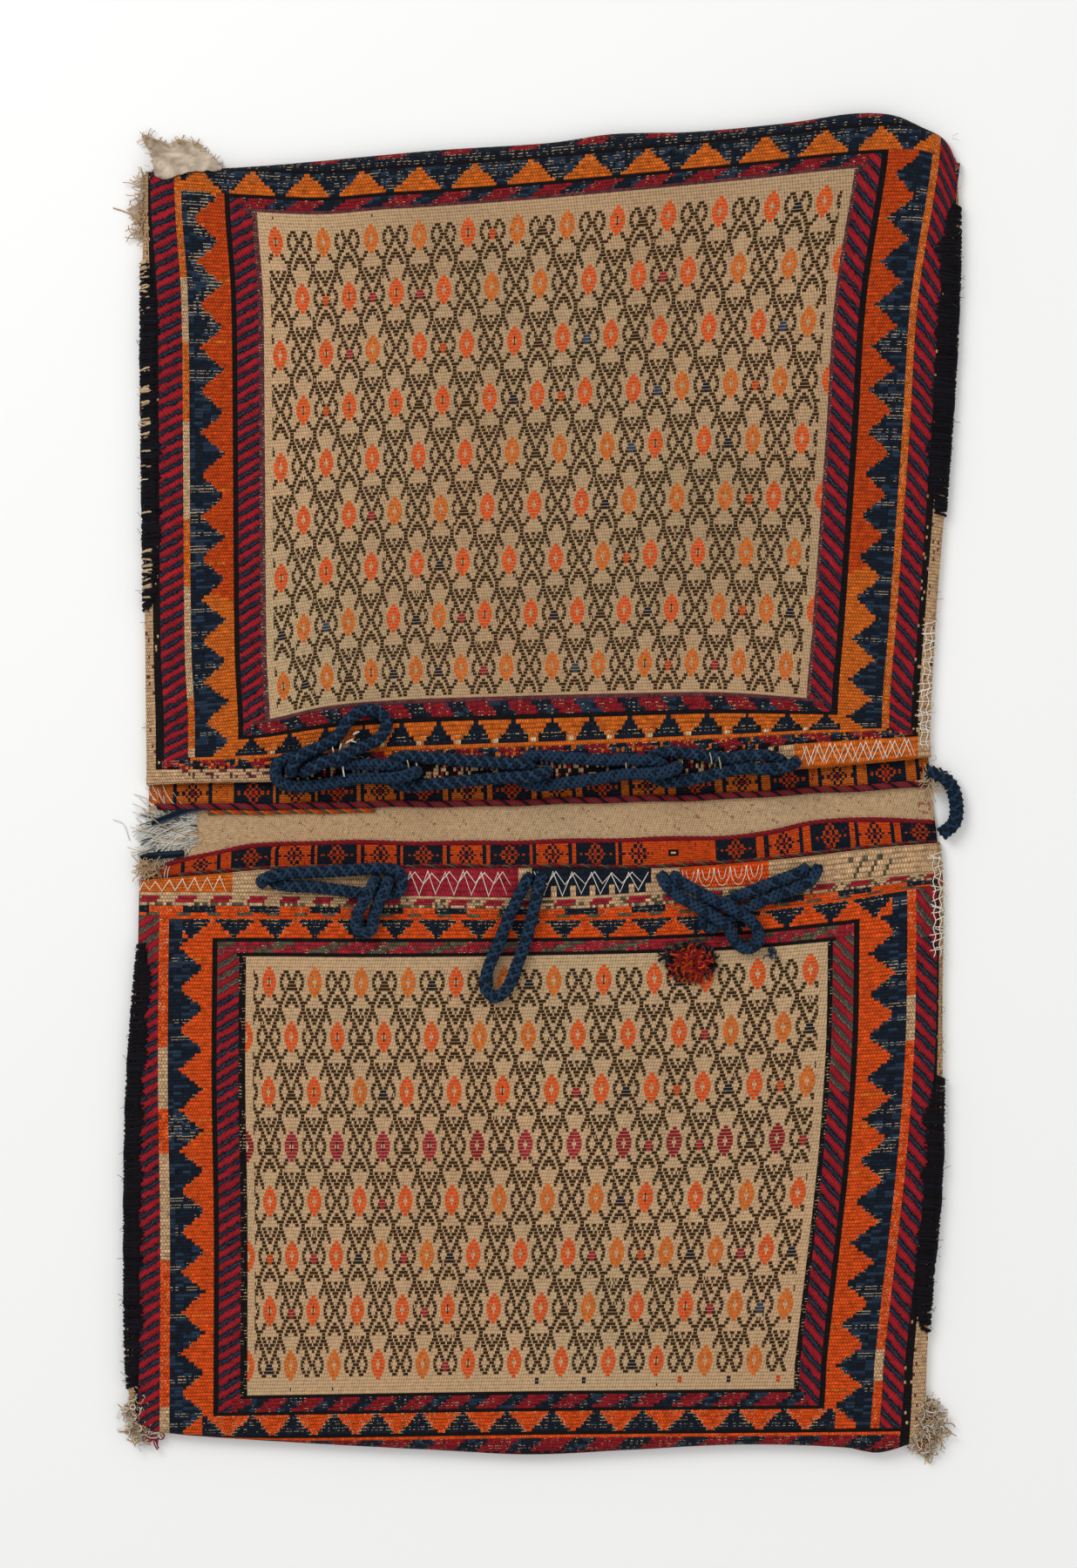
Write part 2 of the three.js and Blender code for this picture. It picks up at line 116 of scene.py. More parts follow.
# The two long edges of the cloth: (y, x)
LEFT_EDGE = [
    (-450, -270), (-400, -277), (-320, -278.5), (-220, -277.5), (-150, -273.5), (-95, -268.5),
    (-45, -266), (0, -264.5), (60, -265), (200, -266.5), (330, -267.5), (450, -264),
]
RIGHT_EDGE = [
    (-450, 256), (-385, 257.5), (-330, 261), (-290, 265), (-245, 267.5), (-150, 268), (-60, 268),
    (0, 262), (35, 259.5), (105, 263), (200, 270.5), (300, 277), (385, 279), (450, 274),
]
# Folds and mouth edges: (x, y)
TOP_FOLD = [
    (-264, 411), (-189, 414.5), (-71, 425), (5, 430), (48, 436), (102, 437.5), (166, 443.5),
    (209, 449.7), (236, 448.5), (257, 439.5), (268, 434), (274, 427), (278, 417),
]
BOTTOM_FOLD = [
    (-272, -430), (-255, -435), (-176, -441), (-66, -447), (-7, -449.7), (61, -446.5),
    (135, -443), (203, -445), (224, -448.5), (240, -445), (256, -438),
]
UPPER_MOUTH = [(-265, 0), (-228, 1.5), (0, 4), (146, 9), (225, 15), (262, 19)]
LOWER_MOUTH = [
    (-267, -65), (-214, -60.5), (-182, -58), (0, -57), (81, -57), (161, -51), (225, -43.5), (268, -40),
]

# ------------------------------------------------------------------ braided loops, in millimetres

ON_FRONT = 16.5      # height of a cord that lies on a front
OVER_CORD = 25.1     # and of one that lies on another cord
FOOT = 8.9
UPPER_SLITS = [(165, 14.5), (86, 11.5), (-1, 9), (-88, 8.5), (-163, 8)]
LOWER_SLITS = [(-183, -66), (-107, -65), (-5, -63), (85, -62), (180, -57)]


def chain_loop(foot, eye, spread):
    """A loop that runs left from the slit at foot and ends in an eye round the foot at eye."""
    half = size("cord_diameter") / 2 + 0.2
    (fx, fy), (ex, ey) = foot, eye
    mx, my = (fx + ex) / 2, (fy + ey) / 2
    return [
        (fx - half, fy, FOOT), (fx - half, fy, 14), (fx - 6, fy + 1.6, OVER_CORD - 4),
        (fx - 12, fy + 3.9, OVER_CORD + 0.4), (fx - 19, fy + 4.4, OVER_CORD),
        (fx - 30, fy + half + spread / 2, ON_FRONT + 2.4), (mx, my + half + spread, ON_FRONT),
        (ex + 11, ey + 9, ON_FRONT), (ex - 4, ey + 9.6, ON_FRONT), (ex - 14, ey + 5, ON_FRONT),
        (ex - 14, ey - 5, ON_FRONT), (ex - 4, ey - 9.6, ON_FRONT), (ex + 11, ey - 9, ON_FRONT),
        (mx, my - half - spread, ON_FRONT), (fx - 30, fy - half - spread / 2, ON_FRONT + 2.8),
        (fx - 18, fy - 4.6, OVER_CORD + 1.6), (fx - 9, fy - 4.2, OVER_CORD + 4.6),
        (fx - 1, fy - 2.6, OVER_CORD + 3.4), (fx + 3.8, fy - 0.6, OVER_CORD - 3.4),
        (fx + half, fy, 14), (fx + half, fy, FOOT),
    ]


def loop_routes():
    """The centre lines of the ten closure loops, by CAD node."""
    half = size("cord_diameter") / 2 + 0.2
    up, low = UPPER_SLITS, LOWER_SLITS
    return {
        "closure_loop_upper_1": chain_loop(up[0], up[1], 0),
        "closure_loop_upper_2": chain_loop(up[1], up[2], 1.6),
        "closure_loop_upper_3": chain_loop(up[2], up[3], 2),
        "closure_loop_upper_4": chain_loop(up[3], up[4], 0.6),
        "closure_loop_upper_5": [
            (up[4][0] - half, up[4][1], FOOT), (up[4][0] - half, up[4][1], 14),
            (-167.5, 9.5, 22.5), (-163.5, 16.5, OVER_CORD + 0.6), (-154, 22.5, OVER_CORD - 1.5),
            (-144, 26.5, 20), (-135.5, 33.5, 17.1), (-129.5, 42.5, 17.1), (-120, 49, 17.1),
            (-110, 48.5, 17.1), (-103.5, 41, 17.1), (-109, 30.5, 17.1), (-121, 24.5, 18.1),
            (-134, 18.5, 23.5), (-145, 14.5, OVER_CORD + 1.6), (-154, 10.5, OVER_CORD),
            (up[4][0] + half + 0.6, up[4][1] + 0.6, 20), (up[4][0] + half, up[4][1], 13),
            (up[4][0] + half, up[4][1], FOOT),
        ],
        "closure_loop_lower_1": [
            (low[0][0] - half, low[0][1], FOOT), (low[0][0] - half, low[0][1], 13),
            (-185.5, -63.5, 22), (-178, -60.6, 24.6), (-168, -59.6, 21), (-152, -59, 16.9),
            (-130, -57.8, 16.5), (-108, -56.4, 16.5), (-96, -58.6, 16.5), (-93.4, -65.5, 16.5),
            (-96, -72.2, 16.5), (-108, -74, 16.5), (-130, -71.8, 16.5), (-152, -69, 16.9),
            (-166, -68.4, 19), (-174, -67.4, 20), (low[0][0] + half, low[0][1], 13),
            (low[0][0] + half, low[0][1], FOOT),
        ],
        "closure_loop_lower_2": [
            (low[1][0] - half, low[1][1], FOOT), (low[1][0] - half, low[1][1], 15),
            (-112.6, -66.6, 22), (-115.6, -72.6, OVER_CORD + 0.6), (-119.5, -80, OVER_CORD - 0.6),
            (-123.4, -88, 18.9), (-124, -95, 17.5), (-119, -100, 17.5), (-113.4, -96.4, 17.5),
            (-112.4, -88.5, 18.5), (-109, -80, OVER_CORD - 0.6), (-105.6, -72.6, OVER_CORD + 0.6),
            (-103.4, -66.6, 22), (low[1][0] + half, low[1][1], 15),
            (low[1][0] + half, low[1][1], FOOT),
        ],
        "closure_loop_lower_3": [
            (low[2][0] - half, low[2][1], FOOT), (low[2][0] - half, low[2][1], 13),
            (-11.6, -67.5, 18.6), (-16, -76, 16.9), (-22.5, -90, 17.1), (-29.5, -108, 17.5),
            (-37, -127, 17.9), (-37.5, -137, 18.1), (-31, -142.5, 18.1), (-23.5, -137, 18.1),
            (-17, -122, 17.7), (-10, -102, 17.3), (-5.6, -84, 16.9), (-2.6, -71, 18.8),
            (low[2][0] + half, low[2][1] + 0.4, 14), (low[2][0] + half, low[2][1], FOOT),
        ],
        "closure_loop_lower_4": [
            (low[3][0] - half, low[3][1], FOOT), (low[3][0] - half, low[3][1], 13),
            (82.6, -67, 19.4), (90, -73.6, 19.6), (104, -82, 22.5), (116, -89, OVER_CORD + 0.8),
            (125, -97, OVER_CORD - 1), (129, -104.6, 18.5), (136, -110, 17.5), (144, -106.5, 17.5),
            (144, -97, 19.1), (136, -88.6, OVER_CORD - 1), (124.6, -82.4, OVER_CORD + 0.8),
            (110, -75, 22.5), (98, -68.4, 19.6), (91, -64.4, 18.6),
            (low[3][0] + half, low[3][1], 13), (low[3][0] + half, low[3][1], FOOT),
        ],
        "closure_loop_lower_5": [
            (low[4][0] - half, low[4][1], FOOT), (low[4][0] - half, low[4][1], 13),
            (173.4, -58.6, 17.6), (165, -62, 16.9), (150, -67.6, 16.5), (136, -73.2, 16.5),
            (122, -79.4, 16.5), (112, -85, 16.5), (107.6, -91, 16.5), (111.6, -96, 16.5),
            (119, -94, 16.5), (128, -88, 16.5), (141, -81.4, 16.5), (154, -75.4, 16.5),
            (168, -70, 17.1), (179, -65, 18.4), (low[4][0] + half, low[4][1], 13),
            (low[4][0] + half, low[4][1], FOOT),
        ],
    }


SIDE_CORD_ROUTE = [
    (258, 8, 8.2), (267, 5.5, 8), (274.5, -1.5, 6.6), (278, -14, 5.5), (276.5, -26, 6), (268, -33.5, 8),
]
STUB_ROUTES = {
    "side_cord_stub_upper": [(-226, -16, 6.2), (-238, -18, 6.2), (-250, -22.6, 6.2), (-262, -27, 4.4)],
    "side_cord_stub_lower": [(-240, -46.4, 6.2), (-250, -47, 6.2), (-260, -47.6, 6.4), (-270, -49, 5.8)],
}

# ------------------------------------------------------------------ curves and small maths


def smooth_curve(pairs):
    """A smooth curve through (place, value) pairs, read at an array of places."""
    at = np.array([p[0] for p in pairs], float)
    to = np.array([p[1] for p in pairs], float)
    order = np.arange(len(at))
    before, after = np.maximum(order - 1, 0), np.minimum(order + 1, len(at) - 1)
    slope = (to[after] - to[before]) / (at[after] - at[before])

    def read(place):
        place = np.asarray(place, float)
        i = np.clip(np.searchsorted(at, place) - 1, 0, len(at) - 2)
        span = at[i + 1] - at[i]
        t = np.clip((place - at[i]) / span, 0, 1)
        rise = to[i] * (2 * t**3 - 3 * t**2 + 1) + to[i + 1] * (3 * t**2 - 2 * t**3)
        lean = slope[i] * (t**3 - 2 * t**2 + t) + slope[i + 1] * (t**3 - t**2)
        return rise + span * lean

    return read


left_edge, right_edge = smooth_curve(LEFT_EDGE), smooth_curve(RIGHT_EDGE)


def ease(value, low, high):
    """0 below low, 1 above high, and a smooth climb between."""
    t = np.clip((value - low) / (high - low), 0, 1)
    return t * t * (3 - 2 * t)


def ripple(x, y, size, seed):
    """A gentle seeded unevenness from -1 to 1, its bumps about size across."""
    total = np.zeros(np.broadcast(x, y).shape)
    rng = np.random.default_rng(seed)
    for _ in range(6):
        angle, phase = rng.uniform(0, math.tau, 2)
        wave = size * rng.uniform(0.7, 1.6)
        total += np.sin(math.tau * (x * math.cos(angle) + y * math.sin(angle)) / wave + phase)
    return total / 6


def through(points, spacing):
    """A Catmull-Rom line through points, sampled about every spacing."""
    p = np.array(points, float)
    p = np.vstack([2 * p[0] - p[1], p, 2 * p[-1] - p[-2]])
    dense = []
    for i in range(1, len(p) - 2):
        t = np.linspace(0, 1, 24, endpoint=False)[:, None]
        a, b, c, d = p[i - 1], p[i], p[i + 1], p[i + 2]
        # centripetal knots, so that close points make no kink
        ta = max(np.linalg.norm(b - a) ** 0.5, 1e-6)
        tb = max(np.linalg.norm(c - b) ** 0.5, 1e-6)
        tc = max(np.linalg.norm(d - c) ** 0.5, 1e-6)
        m1 = ((b - a) / ta - (c - a) / (ta + tb) + (c - b) / tb) * tb
        m2 = ((c - b) / tb - (d - b) / (tb + tc) + (d - c) / tc) * tb
        dense.append(
            (2 * t**3 - 3 * t**2 + 1) * b + (t**3 - 2 * t**2 + t) * m1
            + (3 * t**2 - 2 * t**3) * c + (t**3 - t**2) * m2
        )
    dense = np.vstack(dense + [p[-2:-1]])
    lengths = np.concatenate([[0], np.cumsum(np.linalg.norm(np.diff(dense, axis=0), axis=1))])
    count = max(int(round(lengths[-1] / spacing)), 2)
    wanted = np.linspace(0, lengths[-1], count + 1)
    return np.stack([np.interp(wanted, lengths, dense[:, k]) for k in range(3)], axis=1)


# ------------------------------------------------------------------ materials


def add_node(tree, kind, settings=None, *inputs, **links):
    """Adds a shader node. settings holds its properties and constants, inputs fill its sockets in
    order, and links fill them by name, or by number as i0. A node stands for its first output."""
    made = tree.nodes.new("ShaderNode" + kind)
    for key, value in (settings or {}).items():
        if isinstance(key, int) or key in made.inputs:
            made.inputs[key].default_value = value
        else:
            setattr(made, key, value)
    filled = dict(enumerate(inputs))
    for key, value in links.items():
        numbered = key[0] == "i" and key[1:].isdigit()
        filled[int(key[1:]) if numbered else key.replace("_", " ")] = value
    for key, value in filled.items():
        if isinstance(value, bpy.types.Node):
            value = value.outputs[0]
        if isinstance(value, bpy.types.NodeSocket):
            tree.links.new(value, made.inputs[key])
        else:
            made.inputs[key].default_value = value
    return made


def new_material(name, roughness, sheen=0.0, sheen_tint="#ffffff"):
    """A fabric material: its tree and its shader."""
    material = bpy.data.materials.new(name)
    material.use_nodes = True
    tree = material.node_tree
    shader = tree.nodes["Principled BSDF"]
    shader.inputs["Roughness"].default_value = roughness
    shader.inputs["IOR"].default_value = 1.54
    shader.inputs["Specular IOR Level"].default_value = 0.12
    shader.inputs["Sheen Weight"].default_value = sheen
    shader.inputs["Sheen Roughness"].default_value = 0.5
    shader.inputs["Sheen Tint"].default_value = (*linear(sheen_tint), 1)
    return material, tree, shader


def stitch_places(tree):
    """The column, the row, and where in its stitch a point is, from the weave's own UV map."""
    uv = add_node(tree, "UVMap", {"uv_map": "stitches"})
    split = add_node(tree, "SeparateXYZ", i0=uv.outputs[0])
    column, row = split.outputs[0], split.outputs[1]
    return column, row, add_node(tree, "Math", {"operation": "FRACT"}, row)


def plain_weave_material():
    """Undyed wool in plain weave, with dark and coloured wefts floated over it. Hand spun and matt: a fine
    slanting grain, soft stains, and floats that stand a little proud. The grain and the gaps between rows are
    also painted darker as shade."""
    material, tree, shader = new_material("plain_weave_wool", 0.95, 0.03, "#e8d8bc")
    column, row, across = stitch_places(tree)
    wool = add_node(tree, "Attribute", {"attribute_name": "wool"})
    places = add_node(tree, "TexCoord").outputs["Object"]
    # stains and sun: patches 60 to 200 mm across
    patches = add_node(tree, "TexNoise", {"Scale": 9.0, "Detail": 3.0}, Vector=places)
    green = add_node(tree, "TexNoise", {"Scale": 5.3, "Detail": 2.0}, Vector=places)
    ground = add_node(tree, "Mix",
                      {"data_type": "RGBA", 6: (*linear("#b6926c"), 1), 7: (*linear("#c7a37d"), 1)},
                      i0=patches.outputs["Fac"])
    amount = add_node(tree, "Math", {"operation": "MULTIPLY_ADD", "use_clamp": True},
                      green.outputs["Fac"], 2.6, -1.05)
    ground = add_node(tree, "Mix", {"data_type": "RGBA", 7: (*linear("#a79a76"), 1)},
                      i0=add_node(tree, "Math", {"operation": "MULTIPLY"}, amount, 0.5),
                      i6=ground.outputs[2])
    # grain: yarns 0.9 mm apart that lean over each other
    lean = add_node(tree, "Math", {"operation": "MULTIPLY_ADD"}, row, 0.5,
                    add_node(tree, "Math", {"operation": "MULTIPLY"}, column, 2.0))
    grain = add_node(tree, "Math", {"operation": "SINE"},
                     add_node(tree, "Math", {"operation": "MULTIPLY"}, lean, math.pi))
    rows = add_node(tree, "Math", {"operation": "SINE"},
                    add_node(tree, "Math", {"operation": "MULTIPLY"}, across, math.pi))
    thread = add_node(tree, "TexNoise", {"Scale": 900.0, "Detail": 2.0}, Vector=places)
    slubs = add_node(tree, "TexNoise", {"Scale": 330.0, "Detail": 1.0}, Vector=places)
    # painted shade: the grain's and the rows' sines darken the colour between yarns and rows, besides making
    # the bump
    shade = add_node(tree, "Math", {"operation": "MULTIPLY_ADD"}, grain, 0.17, 0.64)
    shade = add_node(tree, "Math", {"operation": "MULTIPLY_ADD"}, rows, 0.36, shade)
    shade = add_node(tree, "Math", {"operation": "MULTIPLY_ADD"}, slubs.outputs["Fac"], 0.5,
                     add_node(tree, "Math", {"operation": "SUBTRACT"}, shade, 0.25))
    shade = add_node(tree, "Math", {"operation": "MULTIPLY_ADD"}, thread.outputs["Fac"], 0.7,
                     add_node(tree, "Math", {"operation": "SUBTRACT"}, shade, 0.35))
    # an alpha under a half is a stain, not a float
    stain = add_node(tree, "Math", {"operation": "MULTIPLY"}, wool.outputs["Alpha"],
                     add_node(tree, "Math", {"operation": "LESS_THAN"}, wool.outputs["Alpha"], 0.5))
    shade = add_node(tree, "Math", {"operation": "MULTIPLY"}, shade,
                     add_node(tree, "Math", {"operation": "MULTIPLY_ADD"}, stain, -0.8, 1.0))
    cloth = add_node(tree, "VectorMath", {"operation": "SCALE"}, i0=ground.outputs[2], Scale=shade)
    # a float leaves a thin line of ground between it and the next row
    low = add_node(tree, "Math", {"operation": "GREATER_THAN"}, across, 0.05)
    high = add_node(tree, "Math", {"operation": "LESS_THAN"}, across, 0.87)
    floated = add_node(tree, "Math", {"operation": "MULTIPLY"}, wool.outputs["Alpha"],
                       add_node(tree, "Math", {"operation": "GREATER_THAN"}, wool.outputs["Alpha"], 0.5))
    floats = add_node(tree, "Math", {"operation": "MULTIPLY"},
                      add_node(tree, "Math", {"operation": "MULTIPLY"}, low, high), floated)
    dye = add_node(tree, "VectorMath", {"operation": "SCALE"}, i0=wool.outputs["Color"],
                   Scale=add_node(tree, "Math", {"operation": "MULTIPLY_ADD"}, thread.outputs["Fac"],
                                  0.9, 0.45))
    colour = add_node(tree, "Mix", {"data_type": "RGBA"}, i0=floats, i6=cloth.outputs[0], i7=dye.outputs[0])
    tree.links.new(colour.outputs[2], shader.inputs["Base Color"])
    height = add_node(tree, "Math", {"operation": "MULTIPLY_ADD"}, floats, 0.8,
                      add_node(tree, "Math", {"operation": "MULTIPLY"}, shade, 0.9))
    bump = add_node(tree, "Bump", {"Strength": 0.7, "Distance": 0.0006}, Height=height)
    tree.links.new(bump.outputs[0], shader.inputs["Normal"])
    return material


def wrapped_weft_material():
    """Dyed wool wrapped round the warps, row over row, leaning one way and then the other. Thick matt
    stitches, painted darker at their sides and in the gap between rows as shade, and a few hairs of lighter
    wool."""
    material, tree, shader = new_material("wrapped_weft_wool", 0.92, 0.03, "#cfb49a")
    column, row, across = stitch_places(tree)
    wool = add_node(tree, "Attribute", {"attribute_name": "wool"})
    places = add_node(tree, "TexCoord").outputs["Object"]
    parity = add_node(tree, "Math", {"operation": "PINGPONG"},
                      add_node(tree, "Math", {"operation": "FLOOR"}, row), 1.0)
    lean = add_node(tree, "Math", {"operation": "MULTIPLY"},
                    add_node(tree, "Math", {"operation": "MULTIPLY_ADD"}, parity, 2.0, -1.0), 0.45)
    slid = add_node(tree, "Math", {"operation": "FRACT"},
                    add_node(tree, "Math", {"operation": "MULTIPLY_ADD"}, across, lean, column))
    hump = add_node(tree, "Math", {"operation": "SINE"},
                    add_node(tree, "Math", {"operation": "MULTIPLY"}, slid, math.pi))
    ridge = add_node(tree, "Math", {"operation": "SINE"},
                     add_node(tree, "Math", {"operation": "MULTIPLY"}, across, math.pi))
    stitch = add_node(tree, "Math", {"operation": "MULTIPLY"},
                      add_node(tree, "Math", {"operation": "POWER"}, hump, 0.5),
                      add_node(tree, "Math", {"operation": "POWER"}, ridge, 0.6))
    hairs = add_node(tree, "TexNoise", {"Scale": 1100.0, "Detail": 2.0}, Vector=places)
    # the dye took unevenly: streaks that run along the rows
    uv = add_node(tree, "UVMap", {"uv_map": "stitches"}).outputs[0]
    along = add_node(tree, "Mapping", {"Scale": (0.3, 1.3, 1.0)}, Vector=uv).outputs[0]
    streak = add_node(tree, "TexNoise", {"Scale": 1.0, "Detail": 3.0}, Vector=along)
    # painted shade: the stitch's relief darkens the colour at its sides and in the gap between rows, besides
    # making the bump
    shade = add_node(tree, "Math", {"operation": "MULTIPLY_ADD"}, stitch, 0.62, 0.52)
    shade = add_node(tree, "Math", {"operation": "MULTIPLY"}, shade,
                     add_node(tree, "Math", {"operation": "MULTIPLY_ADD"}, streak.outputs["Fac"], 1.8, 0.1))
    shade = add_node(tree, "Math", {"operation": "MULTIPLY_ADD"}, hairs.outputs["Fac"], 0.7,
                     add_node(tree, "Math", {"operation": "SUBTRACT"}, shade, 0.35))
    colour = add_node(tree, "VectorMath", {"operation": "SCALE"}, i0=wool.outputs["Color"], Scale=shade)
    # where the weft has worn, the pale warp shows in the gap between two rows
    gap = add_node(tree, "Math", {"operation": "LESS_THAN"}, ridge, 0.55)
    lost = add_node(tree, "Math", {"operation": "GREATER_THAN"},
                    add_node(tree, "Math", {"operation": "SUBTRACT"}, hairs.outputs["Fac"],
                             wool.outputs["Alpha"]), 0.02)
    worn = add_node(tree, "Mix", {"data_type": "RGBA", 7: (*linear("#c4ab86"), 1)},
                    i0=add_node(tree, "Math", {"operation": "MULTIPLY"}, gap, lost), i6=colour.outputs[0])
    tree.links.new(worn.outputs[2], shader.inputs["Base Color"])
    bump = add_node(tree, "Bump", {"Strength": 0.9, "Distance": 0.0009}, Height=stitch)
    tree.links.new(bump.outputs[0], shader.inputs["Normal"])
    return material


def slant_band_material():
    """A border pole in wrapped weft: slanting madder bands as thick as a yarn's plies, and dark
    bands between them split by a thin worn blue line. The dark colour is the weave's own."""
    material, tree, shader = new_material("slant_band_wool", 0.92, 0.03, "#cfb49a")
    column, row, across = stitch_places(tree)
    wool = add_node(tree, "Attribute", {"attribute_name": "wool"})
    places = add_node(tree, "TexCoord").outputs["Object"]
    way = add_node(tree, "Math", {"operation": "MULTIPLY_ADD"}, wool.outputs["Alpha"], -2.0, 1.0)
    wander = add_node(tree, "TexNoise", {"Scale": 160.0, "Detail": 2.0}, Vector=places)
    slid = add_node(tree, "Math", {"operation": "MULTIPLY_ADD"}, column, way, row)
    slid = add_node(tree, "Math", {"operation": "MULTIPLY_ADD"}, wander.outputs["Fac"], 1.6, slid)
    ragged = add_node(tree, "TexNoise", {"Scale": 620.0, "Detail": 1.0}, Vector=places)
    slid = add_node(tree, "Math", {"operation": "MULTIPLY_ADD"}, ragged.outputs["Fac"], 1.5, slid)
    pitch = add_node(tree, "Math", {"operation": "MULTIPLY_ADD"},
                     add_node(tree, "Math", {"operation": "ABSOLUTE"}, way), 3.2, 2.3)
    band = add_node(tree, "Math", {"operation": "FRACT"},
                    add_node(tree, "Math", {"operation": "DIVIDE"}, slid, pitch))
    red_part = add_node(tree, "Math", {"operation": "LESS_THAN"}, band, 0.6)
    blue_part = add_node(tree, "Math", {"operation": "MULTIPLY"},
                         add_node(tree, "Math", {"operation": "GREATER_THAN"}, band, 0.75),
                         add_node(tree, "Math", {"operation": "LESS_THAN"}, band, 0.85))
    dark = add_node(tree, "Mix", {"data_type": "RGBA", 7: (*linear("#2f3644"), 1)}, i0=blue_part,
                    i6=wool.outputs["Color"])
    fade = add_node(tree, "TexNoise", {"Scale": 75.0, "Detail": 3.0}, Vector=places)
    madder = add_node(tree, "Mix",
                      {"data_type": "RGBA", 6: (*linear("#5c0d16"), 1), 7: (*linear("#b0202b"), 1)},
                      i0=fade.outputs["Fac"])
    bands = add_node(tree, "Mix", {"data_type": "RGBA"}, i0=red_part, i6=dark.outputs[2],
                     i7=madder.outputs[2])
    hairs = add_node(tree, "TexNoise", {"Scale": 1100.0, "Detail": 2.0}, Vector=places)
    twist = add_node(tree, "Math", {"operation": "SINE"},
                     add_node(tree, "Math", {"operation": "MULTIPLY"},
                              add_node(tree, "Math", {"operation": "MULTIPLY_ADD"}, row, 0.8, column),
                              4.4))
    swell = add_node(tree, "Math", {"operation": "ABSOLUTE"},
                     add_node(tree, "Math", {"operation": "SINE"},
                              add_node(tree, "Math", {"operation": "MULTIPLY"}, band, math.pi / 0.6)))
    # painted shade: each band's swell darkens the colour at the band's edges, and the plies' twist adds faint
    # dark lines
    shade = add_node(tree, "Math", {"operation": "MULTIPLY_ADD"}, swell, 0.5, 0.48)
    shade = add_node(tree, "Math", {"operation": "MULTIPLY_ADD"}, twist, 0.14, shade)
    shade = add_node(tree, "Math", {"operation": "MULTIPLY_ADD"}, hairs.outputs["Fac"], 0.8,
                     add_node(tree, "Math", {"operation": "SUBTRACT"}, shade, 0.4))
    cloth = add_node(tree, "VectorMath", {"operation": "SCALE"}, i0=bands.outputs[2], Scale=shade)
    tree.links.new(cloth.outputs[0], shader.inputs["Base Color"])
    bump = add_node(tree, "Bump", {"Strength": 0.9, "Distance": 0.0009}, Height=swell)
    tree.links.new(bump.outputs[0], shader.inputs["Normal"])
    return material


def yarn_material(name, roughness, sheen, tint, twist):
    """Spun yarn coloured by its own attribute, with plies that wind round it twist times a turn, painted
    darker between the plies as shade.
    """
    material, tree, shader = new_material(name, roughness, sheen, tint)
    wool = add_node(tree, "Attribute", {"attribute_name": "wool"})
    uv = add_node(tree, "UVMap", {"uv_map": "stitches"})
    split = add_node(tree, "SeparateXYZ", i0=uv.outputs[0])
    turn = add_node(tree, "Math", {"operation": "MULTIPLY_ADD"}, split.outputs[1], twist, split.outputs[0])
    ply = add_node(tree, "Math", {"operation": "SINE"},
                   add_node(tree, "Math", {"operation": "MULTIPLY"}, turn, math.tau * 2))
    places = add_node(tree, "TexCoord").outputs["Object"]
    fibre = add_node(tree, "TexNoise", {"Scale": 1500.0, "Detail": 2.0}, Vector=places)
    # painted shade: the plies' sine darkens the colour in the grooves between them, as it does the bump
    shade = add_node(tree, "Math", {"operation": "MULTIPLY_ADD"}, ply, 0.2, 0.45)
    shade = add_node(tree, "Math", {"operation": "MULTIPLY_ADD"}, fibre.outputs["Fac"], 0.7, shade)
    colour = add_node(tree, "VectorMath", {"operation": "SCALE"}, i0=wool.outputs["Color"], Scale=shade)
    tree.links.new(colour.outputs[0], shader.inputs["Base Color"])
    bump = add_node(tree, "Bump", {"Strength": 0.6, "Distance": 0.0003}, Height=shade)
    tree.links.new(bump.outputs[0], shader.inputs["Normal"])
    return material


def worn_cotton_material():
    """Thin cotton gone grey and limp: matt, mottled, with a fine open weave in its creases. Its mottling is
    partly grey staining and partly painted shade, darkest where the bump is lowest.
    """
    material, tree, shader = new_material("worn_cotton", 0.95, 0.1, "#ffffff")
    places = add_node(tree, "TexCoord").outputs["Object"]
    blots_and_crease_shade = add_node(tree, "TexNoise", {"Scale": 110.0, "Detail": 4.0}, Vector=places)
    fine = add_node(tree, "TexNoise", {"Scale": 1300.0, "Detail": 2.0}, Vector=places)
    # grey blots and painted crease shade: the same noise makes the colour darker and the bump lower
    mix = add_node(tree, "Math", {"operation": "MULTIPLY_ADD", "use_clamp": True}, blots_and_crease_shade.outputs["Fac"],
                   2.4, -0.7)
    ground = add_node(tree, "Mix",
                      {"data_type": "RGBA", 6: (*linear("#8f7c69"), 1), 7: (*linear("#cdbda9"), 1)},
                      i0=mix)
    shade = add_node(tree, "Math", {"operation": "MULTIPLY_ADD"}, fine.outputs["Fac"], 0.5, 0.75)
    cloth = add_node(tree, "VectorMath", {"operation": "SCALE"}, i0=ground.outputs[2], Scale=shade)
    tree.links.new(cloth.outputs[0], shader.inputs["Base Color"])
    bump = add_node(tree, "Bump", {"Strength": 0.6, "Distance": 0.0008}, Height=blots_and_crease_shade.outputs["Fac"])
    tree.links.new(bump.outputs[0], shader.inputs["Normal"])
    return material


def floor_material():
    """Seamless white paper: matt, with nothing to see in it."""
    material, _, shader = new_material("white_paper", 0.95)
    shader.inputs["Base Color"].default_value = (*linear("#f4f4f3"), 1)
    return material


